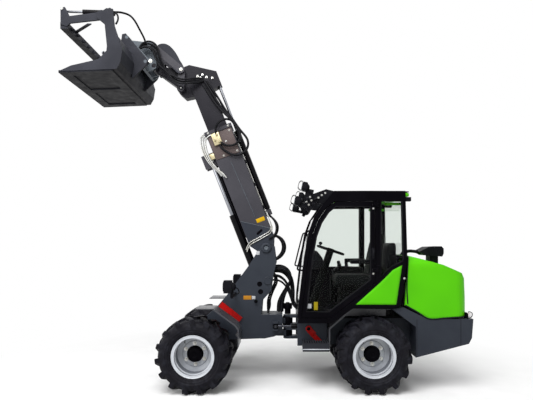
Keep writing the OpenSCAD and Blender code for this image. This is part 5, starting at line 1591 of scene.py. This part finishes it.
@dataclass
class FrontFrame:
    """Dressing of the front tower, its lamps, the step and the hoses at the articulation."""

    tower_y: float = 175.0
    lamp: tuple = (679.0, 568.0, 1194.0)
    grip_n: tuple = (11, 6)
    grip_step: float = 27.0

    def build(self) -> None:
        """Makes all pieces of the front frame, its hoses first."""
        self.hoses()
        self.tower()
        self.lamps()
        self.step()

    def tower(self) -> None:
        """Puts bosses, plugs, blank plates and the joint's bearing caps on the tower and its tongue."""
        boss, zinc, plugs = Form("pivot_bosses"), Form("pivot_pins"), Form("tower_plugs")
        for side in SIDES:
            across = Vector((0, side, 0))
            y = side * self.tower_y
            pivot = at(BOOM_PIVOT[0], y, BOOM_PIVOT[1])
            boss.lathe([(30, -4), (30, 12), (35, 20), (50, 21), (60, 15), (64, 6), (64, -4)], pivot, across, 40)
            boss.lathe([(36, -3), (36, 7), (41, 11), (48, 7), (48, -3)], at(243, y, 1232), across, 36)
            zinc.lathe([(0, 9), (16, 9), (22, 11), (27, 6), (31, 4)], pivot, across, 28)
            for x, z in ((341, 1192), (329, 1100)):
                plugs.lathe([(0, 1.5), (22, 1.5), (27, 3), (31, 1), (32, -2)], at(x, y, z), across, 28)
        plugs.lathe([(0, -2), (9, -2), (9, 20), (20, 24), (22, 36), (16, 44), (0, 46)], at(384, self.tower_y, 987),
                    Vector((0, 1, 0)), 20)
        # Bearing caps of the articulation: the top one stands on the pin's neck
        plugs.lathe([(0, 812), (38, 812), (38, 868), (52, 872), (56, 882), (56, 930), (50, 940), (24, 944), (22, 952),
                     (0, 952)], at(0, 0, 0), Vector((0, 0, 1)), 36)
        for z, high, r in ((722, 124, 62), (580, 84, 58)):
            plugs.lathe([(0, -high / 2), (r - 6, -high / 2), (r, 8 - high / 2), (r, high / 2 - 8), (r - 6, high / 2),
                         (26, high / 2), (24, high / 2 + 9), (0, high / 2 + 9)], at(0, 0, z), Vector((0, 0, 1)), 36)
        boss.piece(ANTHRACITE, Body.FRONT.value, "chassis_paint")
        zinc.piece(PALE_COAT, Body.FRONT.value)
        plugs.piece(BLACK_COAT, Body.FRONT.value)
        y = self.tower_y
        amber = Form("tower_plate")
        amber.box(at(440, y - 1, 1004), at(536, y + 2, 1052), 1.5, 2)
        amber.piece(AMBER_PLATE, Body.FRONT.value)
        pale = Form("tower_pale_plates")
        pale.box(at(392, y - 1, 1008), at(434, y + 2, 1048), 1.5, 2)
        pale.box(at(340, y - 1, 1545), at(384, y + 2, 1590), 1.5, 2)
        pale.piece(PALE_PLATE, Body.FRONT.value)

    def lamps(self) -> None:
        """Gives each head lamp a bezel, a lens, a domed back and its conduit."""
        x, y, z = self.lamp
        bezel, lens = Form("head_lamp_bezels"), Form("head_lamp_lenses")
        for side in SIDES:
            centre = at(x, side * y, z)
            ahead = Vector((1, 0, 0))
            bezel.lathe([(40, 40), (54, 44), (57, 50), (55, 55), (49, 56), (46, 50), (44, 46)], centre, ahead, 40)
            bezel.lathe([(52, -40), (49, -58), (38, -78), (20, -88), (0, -90)], centre, ahead, 36)
            conduit = ((-84, 0, -8), (-112, -side * 20, -30), (-118, -side * 60, -70), (-92, -side * 130, -96))
            bezel.sweep([centre + Vector(p) * MM for p in conduit], 6, 8)
            lens.lathe([(47, 47), (44, 52), (30, 57), (12, 59.5), (0, 60)], centre, ahead, 36)
        bezel.piece(GRAINED, Body.FRONT.value)
        lens.piece(CLEAR_LENS, Body.FRONT.value)

    def step(self) -> None:
        """Covers the entry step with raised grip buttons, gives it a pale rim and the lock bar an eye and a stud."""
        grip = Repeat("step_grip", Shape.BUTTON, 17, 9)
        for i in range(self.grip_n[0]):
            for j in range(self.grip_n[1]):
                grip.add(at(-178 - self.grip_step * i, 434 + self.grip_step * j, 559), Vector((0, 0, 1)))
        grip.piece(STEP_COAT, Body.REAR.value)
        eye = Form("lock_bar_eye")
        eye.lathe([(20, -10), (20, 4), (24, 8), (33, 8), (37, 3), (37, -10)], at(-242, 384, 688), Vector((0, 1, 0)), 28)
        lug = ((-222, 662), (-262, 712), (-330, 640), (-288, 596))
        eye.slab([at(x, 374, z) for x, z in lug], Vector((0, 0.012, 0)), 3)
        eye.piece(RED_COAT, Body.REAR.value, "safety_red")
        stud = Form("lock_bar_stud")
        stud.lathe([(0, -8), (20, -8), (20, 2), (12, 4), (10, 12), (0, 12)], at(-242, 384, 688), Vector((0, 1, 0)), 24)
        stud.piece(BLACK_COAT, Body.REAR.value)
        rim = Form("step_rim")
        rim.sweep([at(x, y, 490) for x, y in ((-172, 424), (-168, 570), (-184, 584), (-444, 584), (-460, 570),
                                              (-456, 424))], 8, 8, False, 3)
        rim.piece(SILVER, Body.REAR.value)

    def hoses(self) -> None:
        """Runs the hose bundle behind the tower, part of it back to the tongue and part to the cab's front wall."""
        back = ((-84, 0, 13), (-40, 34, 14), (8, -26, 13), (52, 18, 14), (94, -12, 13))
        for i, (y, out, r) in enumerate(back):
            hose(f"tower_hose_{i}", [at(240, math.copysign(TOWER_INNER, y), 1340), at(166, y, 1378 + out),
                                     at(84, y, 1392 + out), at(10 - out, y, 1356), at(-36 - out, y * 0.96, 1286),
                                     at(-28, y * 0.94, 1206), at(14 + 0.4 * out, y * 0.9, 1120),
                                     at(58 + 0.7 * out, y * 0.86, 1030), at(84 + out, y * 0.8, 940),
                                     at(90 + out, y * 0.76, 838)], r, Body.FRONT)
        across = ((-104, 0, 13), (-62, 30, 13), (-16, -20, 13), (30, 16, 13), (74, 40, 13))
        for i, (y, out, r) in enumerate(across):
            hose(f"frame_hose_{i}", [at(240, math.copysign(TOWER_INNER, y), 1310), at(166, y, 1344 + 0.5 * out),
                                     at(90, y, 1350 + 0.5 * out), at(20 - out, y, 1308),
                                     at(-34 - 0.6 * out, y, 1230), at(-58 - 0.4 * out, y, 1110),
                                     at(-66 - 0.2 * out, y, 1010), at(-84, y, 930), at(-132, y, 884)], r,
                 Body.FRONT, Body.REAR)
        # Short hoses cross between the tower's rear edge and the cab's front wall
        for i, (y, drop) in enumerate(((128, 0), (104, 60), (-128, 30))):
            hose(f"cross_hose_{i}", [at(182, math.copysign(TOWER_INNER, y), 1300 - drop), at(104, y, 1290 - drop),
                                     at(30, y, 1230 - drop), at(-16, y, 1140 - drop), at(-40, y, 1050 - 0.6 * drop),
                                     at(-66, y, 960 - 0.4 * drop), at(-104, y, 892), at(-132, y, 874)], 12,
                 Body.FRONT, Body.REAR)
        # Three hoses hug the tower's rear edge on their way down to the tongue
        for i, (y, out) in enumerate(((118, 0), (-118, 0), (84, 26))):
            hose(f"edge_hose_{i}", [at(228, math.copysign(TOWER_INNER, y), 1350)] + [at(x - out, y, z) for x, z in (
                (168, 1344), (146, 1276), (164, 1190), (206, 1100), (240, 1000), (244, 920))]
                 + [at(240, y, 838)], 12, Body.FRONT)


@dataclass
class Boom:
    """Dressing of the telescopic boom: welds, pipes, clamps, plates, manifolds and hose loops."""

    half: float = 120.0
    cheek: float = 132.0
    slot_r: float = 16.0
    slot_half: float = 26.0

    @property
    def turn(self) -> Matrix:
        """Place of the boom: its own X runs along it and its Z towards its upper side."""
        return Matrix.Translation(on_boom(0, 0, 0)) @ Matrix.Rotation(-BOOM_ANGLE, 4, "Y")

    def build(self) -> None:
        """Makes all pieces on the boom, its hoses first."""
        self.loops()
        self.seams()
        self.pipes()
        self.fittings()
        self.head()

    def loops(self) -> None:
        """Hangs the hoses of the boom's foot, of its collar and of its head."""
        foot = (
            [(392, 166, 62), (330, 196, 66), (262, 214, 84), (190, 206, 104), (130, 172, 124), (96, 120, 146),
             (92, 70, 150)],
            [(380, 164, -60), (310, 210, -66), (220, 232, -86), (140, 196, -112), (86, 132, -142)],
        )
        for i, route in enumerate(foot):
            hose(f"foot_hose_{i}", [on_boom(a, up, y) for a, up, y in route], 12, Body.BOOM)
        for i, (y, out) in enumerate(((58, 0), (22, 18), (-40, -12))):
            hose(f"pivot_hose_{i}", [on_boom(104, 150, y)] + [at(x - out, y, z) for x, z in (
                (104, 1772), (66, 1728), (50, 1664), (50, 1600), (72, 1540), (118, 1496))]
                 + [at(204, math.copysign(TOWER_INNER, y), 1472)], 14, Body.BOOM, Body.FRONT)
        collar = (
            [(2186, 40, 98), (1957, 84, 104), (1769, 124, 110), (1606, 190, 116), (1469, 226, 122), (1350, 264, 130),
             (1262, 272, 140), (1190, 246, 148), (1160, 180, 152), (1172, 90, 152), (1232, 6, 150), (1320, -54, 146),
             (1404, -72, 140)],
            [(2150, 8, 98), (1940, 52, 110), (1780, 98, 118), (1620, 168, 128), (1490, 206, 136), (1410, 232, 144),
             (1330, 236, 154), (1262, 206, 162), (1236, 140, 166), (1262, 60, 164), (1330, 0, 158), (1420, -60, 146)],
            [(2170, 66, 92), (1950, 118, 92), (1770, 150, 88), (1610, 196, 70), (1480, 214, 40), (1380, 200, 30),
             (1290, 168, 30)],
        )
        for i, route in enumerate(collar):
            hose(f"collar_hose_{i}", [on_boom(a, up, y) for a, up, y in route], 14, Body.EXTENSION, Body.BOOM)
        hose("collar_loop", [on_boom(a, up, y) for a, up, y in (
            (1500, -66, 146), (1572, -40, 172), (1622, 24, 182), (1640, 104, 170), (1606, 176, 142), (1520, 204, 110),
            (1420, 196, 96), (1330, 168, 88))], 13, Body.BOOM)

    def seams(self) -> None:
        """Coats the cheeks, lays the weld along both sides and the cheeks' ground edge, and the slot under it as
        painted shade.
        """
        weld, edge, slot, cheek = Form("boom_welds"), Form("cheek_edges"), Form("cheek_slots"), Form("cheek_coats")
        for side in SIDES:
            cheek.slab([on_boom(a, up, side * (self.cheek - 0.2)) for a, up in (
                (-88, 0), (-44, -76), (93, -176), (414, -176), (200, 135), (93, 135), (-44, 76))],
                Vector((0, side * 0.0014, 0)))
            y = side * (self.half + 1)
            weld.sweep([on_boom(a, up, y) for a, up in ((404, 10), (640, 1), (900, -9), (1137, -18))], 3, 6, False, 2)
            y = side * self.cheek
            edge.sweep([on_boom(a, up, y) for a, up in ((416, -176), (310, -20), (204, 136))], 4, 6, False, 2)
            # The slot is a black sheet on the cheek: painted shade of its opening
            ring = []
            for t in (2 * math.pi * k / 20 + 0.01 for k in range(20)):
                end = math.copysign(self.slot_half, math.sin(t))
                ring.append(on_boom(210 + self.slot_r * math.cos(t) + end * 0.4, -6 + self.slot_r * math.sin(t) + end,
                                    y - side))
            slot.slab(ring, Vector((0, side * 0.0025, 0)))
        cheek.piece(ANTHRACITE, Body.BOOM.value)
        weld.piece(PALE_COAT, Body.BOOM.value)
        edge.piece(PALE_COAT, Body.BOOM.value)
        slot.piece(BLACK_COAT, Body.BOOM.value)

    def pipes(self) -> None:
        """Bends zinc pipes over the boom's foot, along its upper side and round the lift eye."""
        form = Form("boom_pipes")
        for shift in (0, 26):
            form.sweep([on_boom(a + shift, up, 140.5) for a, up in ((40, -236), (76, -206), (108, -158), (118, -90),
                                                                  (132, 20), (150, 110), (196, 152), (262, 160),
                                                                  (380, 162))], 7, 10)
        for y in (-84, -58, 62):
            form.sweep([on_boom(a, up, y) for a, up in ((360, 152), (520, 150), (900, 150), (1300, 150), (1480, 152))],
                       7, 8, False, 3)
        for i, y in enumerate((92, 112, 132)):
            inset = 24 * i
            form.sweep([on_boom(a - inset, up + inset, y) for a, up in ((1540, -108), (1572, -190), (1530, -262),
                                                                       (1412, -290), (1280, -286), (1160, -250),
                                                                       (1080, -206), (1020, -186))], 10, 10)
        form.piece(ZINC, Body.BOOM.value)
        dark = Form("boom_feed_pipes")
        for y in (72, -72):
            feed = [on_boom(a, up, y) for a, up in ((210, -186), (420, -198), (900, -200), (1120, -204))]
            dark.sweep(feed, 11, 8, False, 3)
        dark.piece(BLACK_COAT, Body.BOOM.value)

    def fittings(self) -> None:
        """Puts clamps, manifolds, the collar's guard plate, the blank plate and bolts on the boom."""
        guard = Form("collar_guard")
        outline = [(1216, -172), (1530, -176), (1530, 134), (1206, 130)]
        guard.slab([Vector((a * MM, 0.119, up * MM)) for a, up in outline], Vector((0, 0.008, 0)), 3)
        guard.moved(self.turn).piece(COLLAR_COAT, Body.BOOM.value)
        block = Form("boom_manifold")
        block.box(Vector((1.378, 0.127, -0.126)), Vector((1.528, 0.158, -0.026)), 6)
        block.box(Vector((1.24, 0.084, -0.236)), Vector((1.312, 0.124, -0.176)), 6)
        block.moved(self.turn)
        for a, up in ((1404, -56), (1440, -100), (1500, -56)):
            block.lathe([(0, 16), (15, 16), (15, 30), (11, 34), (11, 44), (7, 48), (0, 48)], on_boom(a, up, 140),
                        Vector((0, 1, 0)), 12)
        block.piece(GOLD_ZINC, Body.BOOM.value)
        clamps = Form("pipe_clamps")
        for a in (460, 760, 1060, 1360):
            clamps.box(Vector((a * MM, -0.1, 0.135)), Vector(((a + 42) * MM, 0.1, 0.164)), 7)
        clamps.moved(self.turn)
        clamps.piece(GRAINED, Body.BOOM.value)
        plate = Form("boom_plate")
        plate.box(Vector((0.322, 0.1195, 0.008)), Vector((0.371, 0.1225, 0.112)), 1.2, 2)
        plate.moved(self.turn)
        plate.piece(YELLOW_PLATE, Body.BOOM.value)
        bolts = Repeat("boom_bolts", Shape.HEX_NUT, 15, 10)
        for a, up in ((1236, -70), (1236, 104), (1500, 104), (1390, 20)):
            bolts.add(on_boom(a, up, 127), Vector((0, 1, 0)))
        for side in SIDES:
            for up in (-150, 110):
                bolts.add(on_boom(1557, up, side * 135), Vector((0, side, 0)))
        bolts.piece(ZINC, Body.BOOM.value)
        pins = Form("lift_pins")
        for side in SIDES:
            pin_end(pins, on_boom(1250, -240, side * 74), side, 18)
        pins.piece(ZINC, Body.BOOM.value)

    def head(self) -> None:
        """Puts small pin ends on the links, a curved guard on the upper link and fittings on the head."""
        inner, crank = Form("head_pins"), Form("link_pins")
        for side in SIDES:
            face = lands(at(1334, 0, 3583.4), side, "tilt_crank")
            pin_end(inner, face + Vector((-0.0291, -0.012 * side, 0)), side, 13)
            pin_end(crank, at(1299.3, outermost("tilt_link", side), 3798.3), side, 13)
        inner.piece(ZINC, Body.CRANK.value)
        crank.piece(ZINC, Body.LINK.value)
        fittings = Repeat("head_fittings", Shape.HEX_NUT, 15, 18)
        for x, z in ((1110, 3740), (1074, 3722), (1037, 3690), (1086, 3676), (1000, 3730), (930, 3720), (1050, 3760)):
            fittings.add(lands(at(x, 0, z), 1, "inner_boom"), Vector((0, 1, 0.2)))
        fittings.piece(ZINC, Body.EXTENSION.value)
        guard = Form("link_guards")
        curve = ((1290, 3768), (1330, 3752), (1400, 3812), (1480, 3892), (1560, 3972), (1596, 4016), (1600, 4062),
                 (1566, 4104), (1496, 4112), (1426, 4076), (1352, 3986), (1302, 3876))
        for side in SIDES:
            y = outermost("tilt_link", side) - side * 9
            guard.slab(spline([at(x, y, z) for x, z in curve], True, 4), Vector((0, side * 0.008, 0)))
        guard.piece(TOOL_COAT, Body.LINK.value)


@dataclass
class Tool:
    """Dressing of the hitch, the grapple bucket and its claw."""

    half: float = 700.0
    claw_face: float = 673.0
    bolt_n: int = 8
    bolt_step: float = 170.0

    def build(self) -> None:
        """Makes all pieces of the tool, its hoses first."""
        self.hoses()
        pins = Form("hitch_pins")
        for side in SIDES:
            pin_end(pins, at(1636.45, side * 265, 3854.8), side, 14)
        pins.piece(ZINC, Body.TOOL.value)
        claw = Form("claw_pins")
        for side in SIDES:
            pin_end(claw, tool_at(0.329, 0.918, side * self.claw_face), side, 11)
            pin_end(claw, tool_at(0.956, 1.028, side * self.claw_face), side, 9)
        claw.piece(ZINC, Body.CLAW.value)
        bolts = Repeat("edge_bolts", Shape.HEX_NUT, 26, 16)
        for k in range(self.bolt_n):
            y = (k - (self.bolt_n - 1) / 2) * self.bolt_step
            bolts.add(tool_at(0.9, 0.03, y), Vector((0.05, 0, 1)))
        bolts.piece(ZINC, Body.TOOL.value)
        weld = Form("bucket_welds")
        for side in SIDES:
            y = side * (self.half - 21)
            weld.sweep([tool_at(a, h, y) for a, h in ((0.96, 0.03), (0.5, 0.05), (0.12, 0.062), (0.055, 0.17),
                                                      (0.03, 0.352), (0.07, 0.5))], 6, 6, False, 3)
        weld.piece(TOOL_COAT, Body.TOOL.value, "tool_paint")

    def hoses(self) -> None:
        """Drapes hoses from the boom's head over the hitch and on to the claw's cylinders."""
        # They keep clear of the links, which swing between them
        for i, (y, out) in enumerate(((160, 0), (174, -22), (188, 20), (202, -36), (-162, 6), (-182, -24))):
            foot, knee, end = (math.copysign(reach, y) for reach in (106, 142, 198))
            hose(f"head_hose_{i}", [at(1030, foot, 3692 + 0.5 * out), at(1104, knee, 3672 + out)] + [
                at(x, y, z) for x, z in (
                    (1190, 3650 + out), (1280, 3646 + out), (1372, 3678 + out), (1452, 3742), (1520 - out, 3836),
                    (1562 - out, 3940), (1592 - out, 4046), (1640, 4118 + out), (1706, 4130 + out))]
                 + [at(1764, (y + end) / 2, 4090), at(1800, end, 4004)], 11, Body.EXTENSION, Body.TOOL)
        for side in SIDES:
            hand = "left" if side > 0 else "right"
            hose(f"claw_hose_{hand}", [at(x, side * y, z) for x, y, z in (
                (1728, 112, 4098), (1732, 190, 4154), (1756, 300, 4216), (1780, 420, 4268), (1812, 510, 4286),
                (1880, 572, 4287), (1956, 604, 4278))], 11, Body.TOOL)
            hose(f"claw_loop_{hand}", [at(x, side * y, z) for x, y, z in (
                (1960, 628, 4270), (1900, 650, 4272), (1848, 664, 4240), (1834, 668, 4188), (1862, 670, 4138),
                (1912, 672, 4112))], 10, Body.TOOL)


def main() -> None:
    """Builds the stage and every sub-assembly in order."""
    logging.basicConfig(level=logging.INFO, format="%(name)s: %(message)s")
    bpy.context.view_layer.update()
    Stage().build()
    FrontFrame().build()
    Boom().build()
    Tool().build()
    for end, x in (("front", 1060.0), ("rear", -955.0)):
        for name, side in (("left", 1), ("right", -1)):
            Wheel(f"{end}_{name}_wheel", x, side).build()
    Cab().build()
    Seat().build()
    Hood().build()
    dress_solids()


if __name__ == "__main__":
    main()
